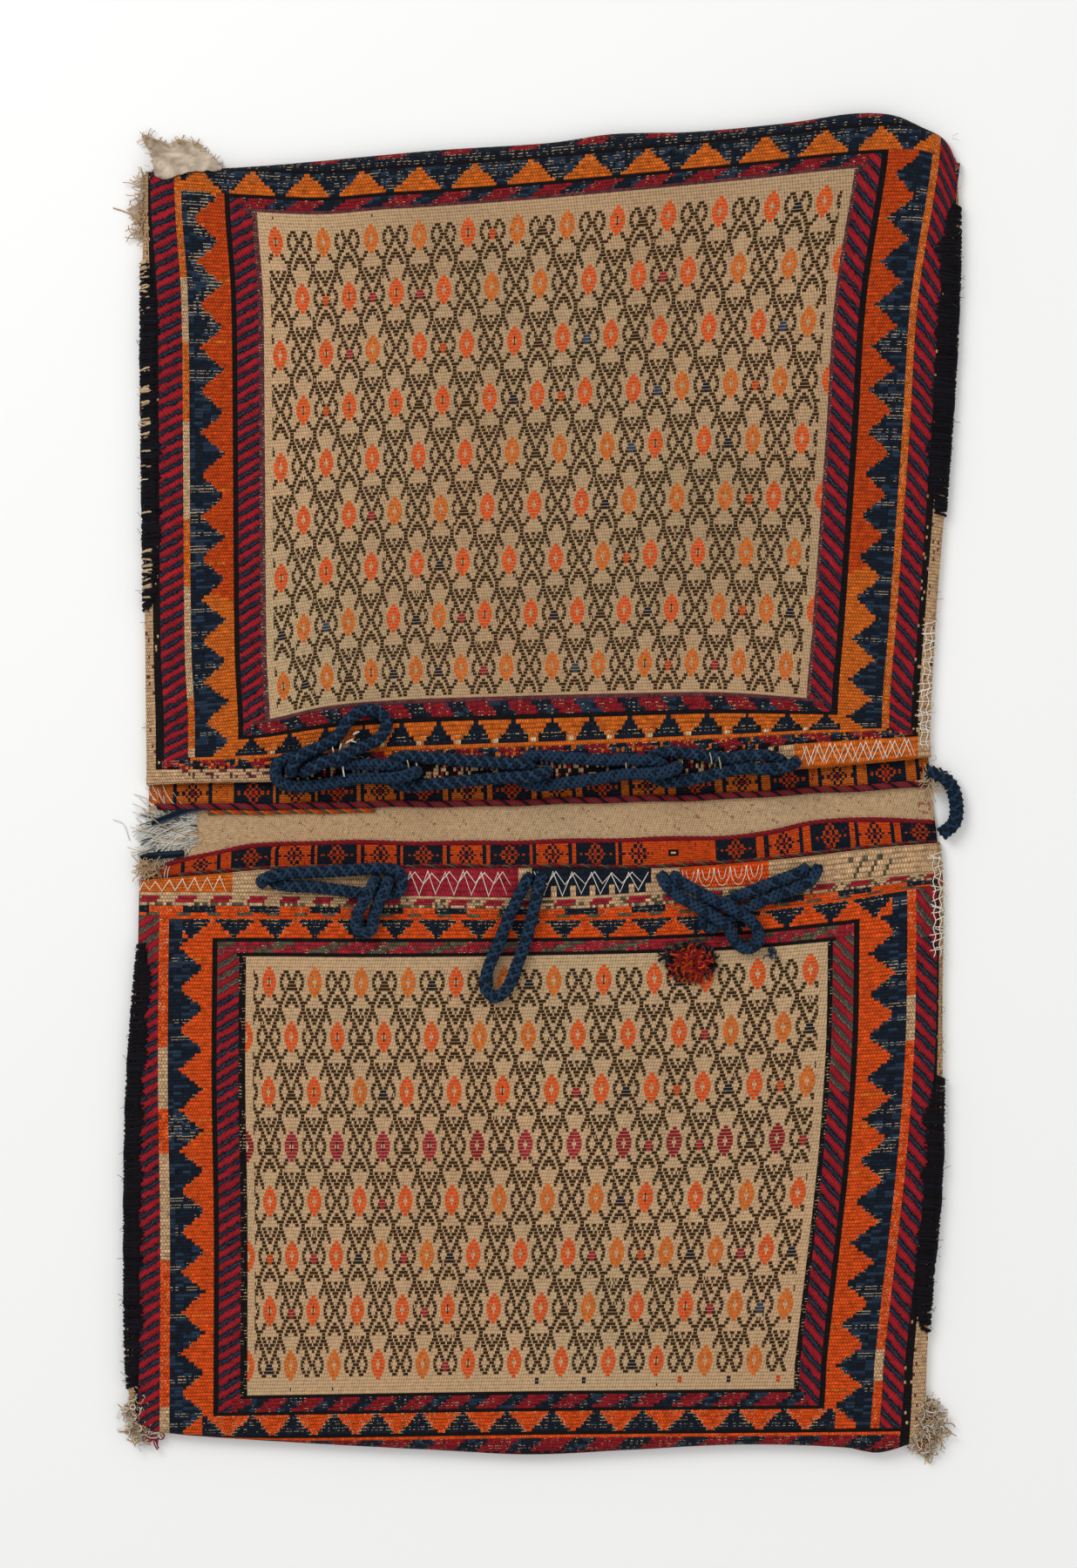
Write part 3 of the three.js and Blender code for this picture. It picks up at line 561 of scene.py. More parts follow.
def material_of(name):
    """One of the bag's materials, made when it is first asked for."""
    if name in bpy.data.materials:
        return bpy.data.materials[name]
    if name == "plain_weave_wool":
        return plain_weave_material()
    if name == "wrapped_weft_wool":
        return wrapped_weft_material()
    if name == "slant_band_wool":
        return slant_band_material()
    if name == "white_paper":
        return floor_material()
    if name == "worn_cotton":
        return worn_cotton_material()
    kinds = {
        # a hard-spun dark blue braid: its plies catch a thin cold light
        "braided_navy_wool": (0.8, 0.06, "#7f97ad", 0.5),
        # loosely spun black goat-like wool, dull and deep
        "overcast_black_wool": (0.95, 0.05, "#5a5868", 0.4),
        # smooth cotton mending thread, brighter than the wool
        "cotton_thread": (0.75, 0.1, "#ffffff", 0.9),
        # soft dyed knotting wool, open at its cut ends
        "dyed_pile_wool": (0.95, 0.05, "#e0a080", 0.4),
        # teased undyed fibre, pale and without a shine
        "teased_wool": (0.95, 0.15, "#ffffff", 0.3),
    }
    return yarn_material(name, *kinds[name])


# ------------------------------------------------------------------ meshes


def new_object(name, vertices, faces, materials):
    """A mesh object at the origin, from points in millimetres."""
    mesh = bpy.data.meshes.new(name)
    mesh.from_pydata((np.asarray(vertices) * MM).tolist(), [], faces)
    for material in materials:
        mesh.materials.append(material)
    piece = bpy.data.objects.new(name, mesh)
    bpy.context.collection.objects.link(piece)
    return piece


def dress(piece, face_colours, corner_uvs, face_materials=None):
    """Gives a mesh its wool colours, one a face, and its stitch UVs, one a corner."""
    mesh = piece.data
    totals = np.zeros(len(mesh.polygons), dtype=np.int32)
    mesh.polygons.foreach_get("loop_total", totals)
    wool = mesh.color_attributes.new("wool", "FLOAT_COLOR", "CORNER")
    wool.data.foreach_set("color", np.repeat(np.asarray(face_colours, np.float32), totals, axis=0).ravel())
    uv = mesh.uv_layers.new(name="stitches")
    uv.data.foreach_set("uv", np.asarray(corner_uvs, np.float32).ravel())
    if face_materials is not None:
        mesh.polygons.foreach_set("material_index", np.asarray(face_materials, np.int32))
    mesh.polygons.foreach_set("use_smooth", np.ones(len(mesh.polygons), bool))
    mesh.update()
    return piece


class Yarns:
    """Many thin closed tubes that make one mesh."""

    def __init__(self):
        self.points, self.faces, self.colours, self.uvs = [], [], [], []
        self.count = 0

    def add(self, line, radius, colour, sides=5, up=(0, 0, 1), taper=False):
        """One yarn along line, in millimetres. radius is a number or one for each point."""
        line = np.asarray(line, float)
        n = len(line)
        along = np.gradient(line, axis=0)
        along /= np.maximum(np.linalg.norm(along, axis=1, keepdims=True), 1e-9)
        side = np.cross(along, np.asarray(up, float))
        size = np.linalg.norm(side, axis=1)
        for i in range(n):
            if size[i] < 0.2:
                side[i] = side[i - 1] if i else np.cross(along[i], (0.3, 0.9, 0.2))
        side /= np.linalg.norm(side, axis=1, keepdims=True)
        top = np.cross(side, along)
        radii = np.broadcast_to(np.asarray(radius, float), (n,)).copy()
        if taper:
            radii *= np.sqrt(np.clip(np.minimum(np.linspace(0.1, 4, n), np.linspace(4, 0.1, n)), 0, 1))
        angle = np.arange(sides) * math.tau / sides
        ring = np.cos(angle)[None, :, None] * side[:, None] + np.sin(angle)[None, :, None] * top[:, None]
        ring = line[:, None] + ring * radii[:, None, None]
        first = self.count
        self.points.append(ring.reshape(-1, 3))
        self.count += n * sides
        travelled = np.concatenate([[0], np.cumsum(np.linalg.norm(np.diff(line, axis=0), axis=1))])
        for i in range(n - 1):
            a = first + i * sides
            for k in range(sides):
                j = (k + 1) % sides
                self.faces.append((a + k, a + k + sides, a + j + sides, a + j))
                u0, u1 = k / sides, (k + 1) / sides
                self.uvs.extend([(u0, travelled[i]), (u0, travelled[i + 1]),
                                 (u1, travelled[i + 1]), (u1, travelled[i])])
        self.faces.append(tuple(first + k for k in range(sides)))
        self.faces.append(tuple(first + (n - 1) * sides + k for k in reversed(range(sides))))
        self.uvs.extend([(0.5, 0)] * sides + [(0.5, travelled[-1])] * sides)
        shade = np.asarray([*colour[:3], 1.0])
        self.colours.extend([shade] * ((n - 1) * sides + 2))

    def build(self, name, material):
        piece = new_object(name, np.vstack(self.points), self.faces, [material_of(material)])
        return dress(piece, self.colours, self.uvs)


def keep(piece, slot, *nodes):
    """Makes a piece part of the bag: it rides with it and stands for its CAD nodes."""
    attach(piece, "root")
    if nodes:
        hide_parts(*nodes)
    return piece


def tinted(name, rng, spread=0.12):
    """A colour with a little of a hand dyer's unevenness."""
    return np.clip(colour(name) * (1 + rng.normal(0, spread)), 0, 1)


# ------------------------------------------------------------------ the weave's grid

COLUMNS = 309
FIELD_FROM, FIELD_TO = 47, 260        # columns of the figured ground
# Columns at which a border stripe starts, from the left edge
OUTER_POLE, LINE, ZONE, INNER_LINE, INNER_POLE, GUARD = 8, 16, 19, 35, 37, 45
RIGHT_GUARD, RIGHT_POLE, RIGHT_INNER, RIGHT_ZONE, RIGHT_LINE, RIGHT_OUTER, RIGHT_EDGE_AT = (
    260, 262, 270, 272, 288, 291, 299)


class Front:
    """One pouch front: where its grid lies, and what is woven in it. Rows count from the mouth."""

    def __init__(self, upper):
        self.upper = upper
        self.way = 1 if upper else -1
        if upper:
            self.name = "upper_pouch_front"
            self.mouth = smooth_curve(UPPER_MOUTH)
            self.fold = smooth_curve(TOP_FOLD)
            self.tabs, self.border, self.field, self.end = 4, 4, 18, 172
            self.field_start = smooth_curve([
                (-264, 35), (-200, 41), (-182, 43.5), (-144, 52), (-100, 56), (-60, 57.7),
                (80, 61.2), (124, 61.2), (175, 57.7), (262, 52)])
            self.tab_end = smooth_curve([
                (-264, 9.5), (-180, 10.5), (0, 16), (120, 22), (180, 27.5), (262, 32.5)])
            self.field_end = smooth_curve([
                (-266, 388), (-190, 383), (-147, 381.5), (-103, 385), (-83, 386), (0, 392),
                (139, 405), (209, 412.4), (250, 413.5), (266, 409), (279, 399)])
            self.field_left = smooth_curve([(23, -182), (43, -182), (90, -184.3), (233, -185.5),
                                            (327, -186.7), (383, -190.7), (430, -192)])
            self.field_right = smooth_curve([(20, 176), (61, 177.3), (105, 181), (233, 190),
                                             (325, 196), (412, 209.4), (450, 213)])
            self.lefts = {0: None, OUTER_POLE: -71, LINE: -54.8, ZONE: -50.4, INNER_LINE: -21.5,
                          INNER_POLE: -18, GUARD: -3.6, FIELD_FROM: 0}
            self.rights = {RIGHT_GUARD: 0, RIGHT_POLE: 2.5, RIGHT_INNER: 17, RIGHT_ZONE: 21.3,
                           RIGHT_LINE: 51, RIGHT_OUTER: 55.8, RIGHT_EDGE_AT: 70.6, COLUMNS: None}
            self.crowding = 0.042
            self.after = 24
            self.period, self.phase_row, self.phase_column = 17, -8.5, 6.3
        else:
            self.name = "lower_pouch_front"
            self.mouth = smooth_curve(LOWER_MOUTH)
            self.fold = smooth_curve(BOTTOM_FOLD)
            self.tabs, self.border, self.field, self.end = 5, 13, 23, 151
            self.field_start = smooth_curve([
                (-270, -117), (-197, -115.5), (-118, -116), (-13, -115), (121, -111.4),
                (191, -105.6), (268, -99)])
            self.tab_end = smooth_curve([
                (-267, -72.3), (-188, -72.9), (-71, -75.2), (10, -75.8), (104, -70),
                (185.5, -65.3), (255.5, -58.9)])
            self.border_start = smooth_curve([
                (-267, -90.4), (-71, -91), (45.5, -91), (146, -85.2), (204, -78.2), (239, -72.3),
                (266, -69)])
            self.field_end = smooth_curve([(-275, -411), (-198, -409.5), (0, -406.5), (173, -405),
                                           (257, -404)])
            self.field_left = smooth_curve([(-450, -197.5), (-300, -197), (-200, -198.5), (-115, -198),
                                            (-60, -197)])
            self.field_right = smooth_curve([(-450, 165), (-406, 168.5), (-387, 169.4), (-255.5, 184.2),
                                             (-176, 190), (-105.6, 191.3), (-50, 191)])
            self.lefts = {0: None, OUTER_POLE: -72.9, LINE: -58.5, ZONE: -52, INNER_LINE: -22.7,
                          INNER_POLE: -19.2, GUARD: -4.7, FIELD_FROM: 0}
            self.rights = {RIGHT_GUARD: 0, RIGHT_POLE: 3.5, RIGHT_INNER: 17.5, RIGHT_ZONE: 21.3,
                           RIGHT_LINE: 53.3, RIGHT_OUTER: 59.2, RIGHT_EDGE_AT: 73.6, COLUMNS: None}
            self.crowding = 0.085
            self.after = 22
            self.period, self.phase_row, self.phase_column = 16, 7.0, 9.3
        self.rows = self.end + self.after
        self.seed = SEED + (1 if upper else 2)

    # -------------------------------------------------------------- where the grid lies

    def column_x(self, column, y):
        """Where a column is at height y."""
        left, right = self.field_left(y), self.field_right(y)
        share = (column - FIELD_FROM) / (FIELD_TO - FIELD_FROM)
        crowded = share + self.crowding * (share**2 - share)
        x = left + crowded * (right - left)
        for keys, base, edge in ((self.lefts, left, left_edge(y)), (self.rights, right, right_edge(y))):
            stops = sorted(keys)
            for a, b in zip(stops, stops[1:]):
                xa = edge if keys[a] is None else base + keys[a]
                xb = edge if keys[b] is None else base + keys[b]
                inside = (column >= a) & (column <= b)
                x = np.where(inside, xa + (column - a) / (b - a) * (xb - xa), x)
        return x

    def row_place(self, row, x):
        """Where a row is at x: its y, and how high it stands on the turn of the fold."""
        mouth, start, end = self.mouth(x), self.field_start(x), self.field_end(x)
        stops = [(0, mouth), (self.tabs, self.tab_end(x))]
        if not self.upper:
            stops.append((self.border, self.border_start(x)))
        stops += [(self.field, start), (self.end, end)]
        y = mouth
        for (ra, ya), (rb, yb) in zip(stops, stops[1:]):
            t = (row - ra) / (rb - ra)
            if self.upper and rb == self.end:
                t = t + 0.035 * (t * t - t)      # the weave opens a little towards the fold
            y = np.where((row > ra) & (row <= rb), ya + t * (yb - ya), y)
        # past the field the rows keep their pitch, go round the fold and end under the bag
        radius = size("rim_height") / 2
        pitch = 2.25
        flat = np.abs(self.fold(x) - end) - radius
        quarter = radius * math.pi / 2
        steps = row - self.end
        outer = (flat + quarter) / pitch
        under = quarter + 2.5
        travelled = np.where(steps < outer, steps * pitch,
                             flat + quarter + (steps - outer) / np.maximum(self.after - outer, 1) * under)
        turn = np.clip((travelled - flat) / quarter, 0, 2) * math.pi / 2
        past = np.clip(travelled - flat - 2 * quarter, 0, None)
        folded_y = end + self.way * np.minimum(travelled, flat)
        folded_y = folded_y + self.way * (radius * np.sin(turn) - past)
        drop = radius * (1 - np.cos(turn))
        beyond = row > self.end
        return np.where(beyond, folded_y, y), np.where(beyond, drop, 0.0)

    def place(self, column, row):
        """Points in millimetres for arrays of columns and rows. The two columns outside each edge
        go down the side, and the rows before the first go under the mouth's lip."""
        inner = np.clip(column, 0, COLUMNS)
        inner_row = np.maximum(row, 0)
        x = -265 + inner / COLUMNS * 530
        y, drop = self.row_place(inner_row, x)
        for _ in range(4):
            x = self.column_x(inner, y)
            y, drop = self.row_place(inner_row, x)
        left, right = left_edge(y), right_edge(y)
        inwards = np.minimum(x - left, right - x)
        seam = ease(inwards, -size("seam_reach") * 0.55, size("seam_reach"))
        base = seam - float(ease(0.0, -size("seam_reach") * 0.55, size("seam_reach")))
        base /= 1 - float(ease(0.0, -size("seam_reach") * 0.55, size("seam_reach")))
        height = size("seam_height") + (size("rim_height") - size("seam_height")) * base
        along = np.clip((inner_row - 2) / (self.end + 8), 0, 1)
        across = np.clip((x - left) / (right - left), 0, 1)
        swell = (4 * along * (1 - along)) ** 2 * (4 * across * (1 - across)) ** 2
        z = height + size("crown") * swell - drop * height / size("rim_height")
        calm = (ease(inwards, 0, 40) * ease(inner_row, 0, 30)
                * (1 - ease(inner_row, self.end - 4, self.end + 8)))
        z = z + calm * (0.55 * ripple(x, y, 120, self.seed) + 0.3 * ripple(x, y, 36, self.seed + 9))
        # down the side of the seam
        over = np.where(column < 0, -column, np.where(column > COLUMNS, column - COLUMNS, 0))
        side = np.where(column < 0, -1, 1)
        x = x + np.where(over > 0, side * np.where(over < 2, 0.9, 0.3), 0)
        z = np.where(over > 0, np.maximum(np.where(over < 2, z * 0.5, 0.3), 0.3), z)
        # under the lip
        lip = np.maximum(-row, 0)
        y = y - self.way * np.where(lip > 0, np.where(lip < 2, 0.9, 0.3), 0)
        z = np.where(lip > 0, z - np.where(lip < 2, 1.5, 2.9), z)
        return np.stack([x, y, np.maximum(z, 0.25)], axis=-1)


# ------------------------------------------------------------------ laying out a weave


def lay_weave(name, rows, columns_of, place, under, paint, flip, materials, stitch=(1, 1)):
    """A closed woven sheet. columns_of gives the columns of each row line, place puts a column and
    a row in space, under is a coarse inner face, and paint colours the cells."""
    lines = [np.asarray(columns_of(row), float) for row in rows]
    starts = np.concatenate([[0], np.cumsum([len(line) for line in lines])])
    all_columns = np.concatenate(lines)
    all_rows = np.concatenate([np.full(len(line), row) for line, row in zip(lines, rows)])
    points = place(all_columns, all_rows)
    faces, centres, corners = [], [], []

    def cell(ring):
        """ring is (line, index) arrays in order round the cell."""
        at = np.stack([starts[i] + k for i, k in ring], axis=1)
        if flip:
            at = at[:, ::-1]
        faces.extend(at.tolist())
        places = np.stack([all_columns[at], all_rows[at]], axis=2)
        corners.append(places.reshape(-1, 2) * stitch)
        centres.append((places.min(axis=1) + places.max(axis=1)) / 2)

    for i in range(len(rows) - 1):
        low, high = lines[i], lines[i + 1]
        k = np.arange(min(len(low), len(high)) - 1)
        if len(low) == len(high):
            cell([(i, k), (i, k + 1), (i + 1, k + 1), (i + 1, k)])
            continue
        coarse, fine = (low, high) if len(low) < len(high) else (high, low)
        first = np.searchsorted(fine, coarse[:-1])
        last = np.searchsorted(fine, coarse[1:])
        single = last - first == 1
        s, d = np.flatnonzero(single), np.flatnonzero(~single)
        if coarse is low:
            cell([(i, s), (i, s + 1), (i + 1, last[s]), (i + 1, first[s])])
            cell([(i, d), (i, d + 1), (i + 1, last[d]), (i + 1, first[d] + 1), (i + 1, first[d])])
        else:
            cell([(i, first[s]), (i, last[s]), (i + 1, s + 1), (i + 1, s)])
            cell([(i, first[d]), (i, first[d] + 1), (i, last[d]), (i + 1, d + 1), (i + 1, d)])
    centres = np.concatenate(centres)
    rgba, kinds = paint(centres[:, 0], centres[:, 1])

    # the inner face and the rim that joins it to the edge of the weave
    down, along = under.shape[:2]
    base = len(points)
    inner = base + np.arange(down * along).reshape(down, along)
    grid = np.stack([inner[:-1, :-1], inner[1:, :-1], inner[1:, 1:], inner[:-1, 1:]], axis=-1)
    extra = (grid[..., ::-1] if flip else grid).reshape(-1, 4).tolist()
    first_line, last_line = starts[0] + np.arange(len(lines[0])), starts[-2] + np.arange(len(lines[-1]))
    left = starts[:-1]
    right = starts[1:] - 1
    for edge, inside, turned in ((first_line, inner[0], True), (right, inner[:, -1], True),
                                 (last_line, inner[-1], False), (left, inner[:, 0], False)):
        cuts = np.round(np.linspace(0, len(edge) - 1, len(inside))).astype(int)
        for j in range(len(inside) - 1):
            ring = edge[cuts[j] : cuts[j + 1] + 1].tolist() + [int(inside[j + 1]), int(inside[j])]
            extra.append(ring[::-1] if turned != flip else ring)
    corner_count = sum(len(f) for f in extra)
    faces.extend(extra)
    points = np.concatenate([points, under.reshape(-1, 3)])
    plain = np.tile([*colour("cream"), 0.0], (len(extra), 1))
    uvs = np.concatenate(corners + [np.zeros((corner_count, 2))])
    piece = new_object(name, points, faces, [material_of(m) for m in materials])
    return dress(piece, np.concatenate([rgba, plain]), uvs, np.concatenate([kinds, np.zeros(len(extra))]))


class Cells:
    """The cells of a weave, painted one figure over another."""

    def __init__(self, column, row, seed):
        self.c, self.r = column, row
        self.rng = np.random.default_rng(seed)
        self.rgba = np.zeros((len(column), 4))
        self.kinds = np.zeros(len(column))
        self.noise = self.rng.random(len(column))

    def fill(self, where, name, spread=0.08, floated=1.0, kind=1):
        count = int(where.sum())
        shade = 1 + self.rng.normal(0, spread, (count, 1))
        self.rgba[where, :3] = np.clip(colour(name) * shade, 0, 1)
        self.rgba[where, 3] = floated
        self.kinds[where] = kind

    def flecks(self, where, name, share, spread=0.15):
        self.fill(where & (self.rng.random(len(self.c)) < share), name, spread)

    def streaks(self, where, name, share, run=3):
        """Short runs along a row that lean towards another colour."""
        place = np.floor(self.c / run) * 12.9898 + np.floor(self.r) * 78.233
        chosen = where & (np.mod(np.sin(place) * 43758.5453, 1) < share)
        self.rgba[chosen, :3] = self.rgba[chosen, :3] * 0.45 + colour(name) * 0.55

    def wear(self, where, share, how_far=0.5):
        """Lets the pale warp show through some of the cells."""
        self.rgba[where & (self.rng.random(len(self.c)) < share), 3] = 1 - how_far


def saw(value, pitch):
    """0 to 1 along each pitch."""
    return np.mod(value, pitch) / pitch


def zigzag(value, pitch):
    """0 at each pitch and 1 half way."""
    return 1 - np.abs(2 * saw(value, pitch) - 1)


# ------------------------------------------------------------------ figures of the fronts

# Dark floats of the lattice in half columns from the middle of a pair of rings, by row
LATTICE = {
    -8: [(0, 1), (4, 6), (8, 10)], -7: [(0, 0), (3, 5), (7, 11)], -6: [(1, 4), (6, 8), (10, 12)],
    -5: [(0, 2), (5, 8), (11, 13)], -4: [(0, 1), (4, 6), (12, 13)], -3: [(3, 6)],
    -2: [(2, 4), (6, 8)], -1: [(1, 3), (7, 9)], 0: [(0, 2), (8, 9)], 1: [(1, 3), (7, 9)],
    2: [(2, 4), (6, 8)], 3: [(3, 6)], 4: [(0, 1), (5, 7), (13, 15)], 5: [(0, 3), (6, 8), (12, 14)],
    6: [(1, 4), (7, 9), (10, 12)], 7: [(3, 5), (8, 10)], 8: [(4, 6), (8, 10)],
}
# The lozenge between two pairs, from its own middle
LOZENGE = {
    -4: (0, 1), -3: (0, 3), -2: (0, 4), -1: (1, 5), 0: (2, 5), 1: (1, 5), 2: (0, 4), 3: (0, 3), 4: (0, 1),
}


def paint_field(cells, front):
    """The figured ground: brown pairs of rings in a lattice of legs, with lozenges between."""
    c, r = cells.c, cells.r
    field = (c > FIELD_FROM) & (c < FIELD_TO) & (r > front.field) & (r < front.end)
    cells.fill(field, "cream", 0.03, floated=0.0, kind=0)
    away_left = np.clip((c - FIELD_FROM) / 60, 0, 1)
    if front.upper:
        stain = 0.2 + 0.12 * ripple(c, r, 70, front.seed + 20)
    else:
        stain = 0.03 + 0.05 * ripple(c, r, 60, 5)
    cells.rgba[field, 3] = np.clip(stain * away_left, 0, 0.45)[field]
    half = np.floor((c - FIELD_FROM) * 2).astype(int)
    total = (FIELD_TO - FIELD_FROM) * 2
    down = np.floor(front.end - r if front.upper else r - front.field).astype(int)
    first = 8 if front.upper else 7
    period = front.period
    line = np.floor((down - first + period / 2) / period).astype(int)
    y = down - first - line * period
    lines = 9 if front.upper else 8
    odd = line % 2 == 0
    middle = np.where(odd, 12, 30) if front.upper else np.where(odd, 18, 36)
    around = np.mod(half - middle, 36)             # 0 at a lozenge, 18 at a pair of rings
    from_rings = np.abs(around - 18)
    from_lozenge = np.minimum(around, 36 - around)
    inside = field & (line >= 0) & (line < lines)
    margin = (half > 5) & (half < total - 6)
    first_rows = (line == 0) & (y < -3)
    last_rows = (line == lines - 1) & (y > 3) & (not front.upper)
    worn = cells.noise < 0.012
    brown = np.zeros(len(c), bool)
    for row, spans in LATTICE.items():
        for low, high in spans:
            brown |= (y == row) & (from_rings >= low) & (from_rings <= high)
    brown &= inside & margin & ~first_rows & ~last_rows & ~worn
    cells.fill(brown, "brown", 0.18, kind=0)
    lozenge = np.zeros(len(c), bool)
    for row, (low, high) in LOZENGE.items():
        lozenge |= (y == row) & (from_lozenge >= low) & (from_lozenge <= high)
    lozenge &= inside
    which = np.floor((half - middle + 18) / 36).astype(int) * 31 + line * 17
    tone = np.mod(np.sin(which * 12.9898) * 43758.5453, 1)
    pale = lozenge & (tone > 0.72)
    cells.fill(lozenge, "flame", 0.12, kind=0)
    cells.fill(pale, "gold", 0.14, kind=0)
    if front.upper:
        cells.fill(lozenge & (line == lines - 1), "gold", 0.14, kind=0)
    else:
        cells.fill(lozenge & (line == 3), "crimson", 0.16, kind=0)
        cells.fill(lozenge & (line == 3) & (tone > 0.6), "red", 0.1, kind=0)
    heart = inside & (from_lozenge < 1) & (np.abs(y) < 2)
    cells.fill(heart & (tone < 0.16), "black", 0.2, kind=0)
    # a block of colour where some pairs cross
    pair = np.floor((half - middle) / 36).astype(int) * 13 + line * 7
    chance = np.mod(np.sin(pair * 78.233 + front.seed) * 12543.123, 1)
    block = inside & margin & (from_rings <= 2) & (y >= 0) & (y <= 2) & ~((y == 2) & (from_rings > 1))
    for low, high, name in ((0, 0.09, "crimson"), (0.09, 0.15, "orange"), (0.15, 0.22, "navy"),
                            (0.22, 0.34, "brown"), (0.34, 0.37, "blue")):
        cells.fill(block & (chance >= low) & (chance < high), name, 0.14, kind=0)
    # lone dots before the first line and after the last
    edge = field & ((down == first - 7) if front.upper else (down == first + 8 * lines * 2 - 9))
    dot = edge & (from_rings > 16) & (np.mod(half, 5) < 2)
    for pick, name in ((0.3, "brown"), (0.5, "red"), (0.6, "navy")):
        cells.fill(dot & (chance > pick) & (chance < pick + 0.1), name, 0.1, kind=0)
    if not front.upper:
        tail = field & (down > front.end - front.field - 5) & (down < front.end - front.field - 2)
        tail &= (from_rings < 2) & (half > 220)
        cells.fill(tail & (chance > 0.5), "orange", 0.1, kind=0)
        cells.fill(tail & (chance > 0.75), "navy", 0.1, kind=0)
    return field


def paint_pole(cells, where, left, front, grey):
    """A pole's slanted bands, which lean up and inwards; grey is where the dark ones are olive."""
    lean = (0.725 if front.upper else 0.275) if left else (0.1 if front.upper else 0.9)
    cells.fill(where, "navy", 0.2, floated=lean, kind=2)
    if grey is not None:
        cells.fill(where & grey, "olive", 0.2, floated=lean, kind=2)


def paint_sides(cells, front):
    """The upright stripes at both sides, counted in columns from the edge."""
    c, r = cells.c, cells.r
    length = front.end + 12
    for left in (True, False):
        d = c if left else COLUMNS - c - 2
        side = (c < FIELD_FROM) if left else (c > FIELD_TO)
        rise = (r > 6) & (r < length) if front.upper else (r > 10.5) & (r < length)
        cells.fill(side & (d < 4), "cream", 0.08)
        cells.flecks(side & (d < 4), "mauve", 0.05)
        cells.fill(side & (d >= 4) & (d < 8), "black", 0.2)
        cells.flecks(side & (d >= 4) & (d < 8), "cream", 0.03)
        grey = None
        if not front.upper:
            grey = r < (34 if left else 66)
        if left and not front.upper:
            cells.fill(side & (d < 8) & (r > 11) & (r < 20), "black", 0.2)
            cells.flecks(side & (d < 8) & (r > 11) & (r < 20), "cream", 0.3)
        start = 6 if front.upper else 11
        paint_pole(cells, side & rise & (d >= 8) & (d < 16) & (r > start), left, front,
                   (r < 24) if not front.upper else None)
        inner_from = 14 if front.upper else 19
        inner_to = front.end + 4 if front.upper else front.end + 5
        paint_pole(cells, side & (d >= 37) & (d < 45) & (r > inner_from) & (r < inner_to), left, front, grey)
        guard = side & (d >= 45) & (r > inner_from) & (r < inner_to)
        cells.fill(guard, "mauve" if front.upper else "black", 0.14)
        cells.wear(guard, 0.3)
        # the line
        line = side & rise & (d >= 16) & (d < 19) & (r > (8 if front.upper else 12))
        cells.fill(line, "cream", 0.1)
        least = (0.05 if front.upper else -0.1) if left else -0.4
        dyed = ripple(r, r * 0, 34, front.seed * 3 + left) > least
        cells.fill(line & dyed, "gold" if front.upper else "flame", 0.14)
        cells.wear(line, 0.3)
        # the zone of teeth
        zone = side & (d >= 19) & (d < 35) & (r > (8 if front.upper else 13)) & (r < front.end + 12)
        if front.upper:
            tip, pitch = (150.3, 12.5) if left else (145.6, 12.1)
        else:
            tip, pitch = (26.2, 11.8) if left else (27.6, 11.7)
        reach = 4.2 + 8.6 * zigzag(r - tip + pitch / 2, pitch) ** 1.05
        teeth = zone & (d - 19 < reach)
        cells.fill(zone, "orange" if front.upper else "flame", 0.09)
        if front.upper:
            cells.fill(zone & (r < 60 + 14 * ripple(r, d, 60, 4)), "gold", 0.08)
        cells.fill(teeth, "navy", 0.16)
        cells.streaks(teeth, "blue", 0.3)
        cells.wear(teeth & (np.abs(d - 19 - reach) < 1.1), 0.25)
        # worn rows, where the cream warp shows
        worn_rows = np.mod(np.sin(np.floor(r) * 7.31 + front.seed + left) * 951.7, 1)
        cells.wear(teeth & (worn_rows > 0.9), 0.7, 0.56)
        if front.upper and left:
            cells.wear(teeth & (r > 136) & (d - 19 > reach - 4.5), 0.5, 0.6)
        cells.flecks(zone & ~teeth & (worn_rows > 0.985), "gold", 0.5)
        cells.fill(side & (d >= 35) & (d < 37) & (r > (13 if front.upper else 18)) & (r < front.end + 6),
                   "black", 0.2)


def mottled(cells, where, pitch, slant, pale):
    """A row of slanted blocks in red and navy with pale flecks."""
    share = saw(cells.c + cells.r * slant, pitch)
    cells.fill(where, "navy", 0.2)
    cells.streaks(where, "blue", 0.25)
    cells.fill(where & (share < 0.55), "red", 0.14)
    cells.wear(where, pale * 2.4)


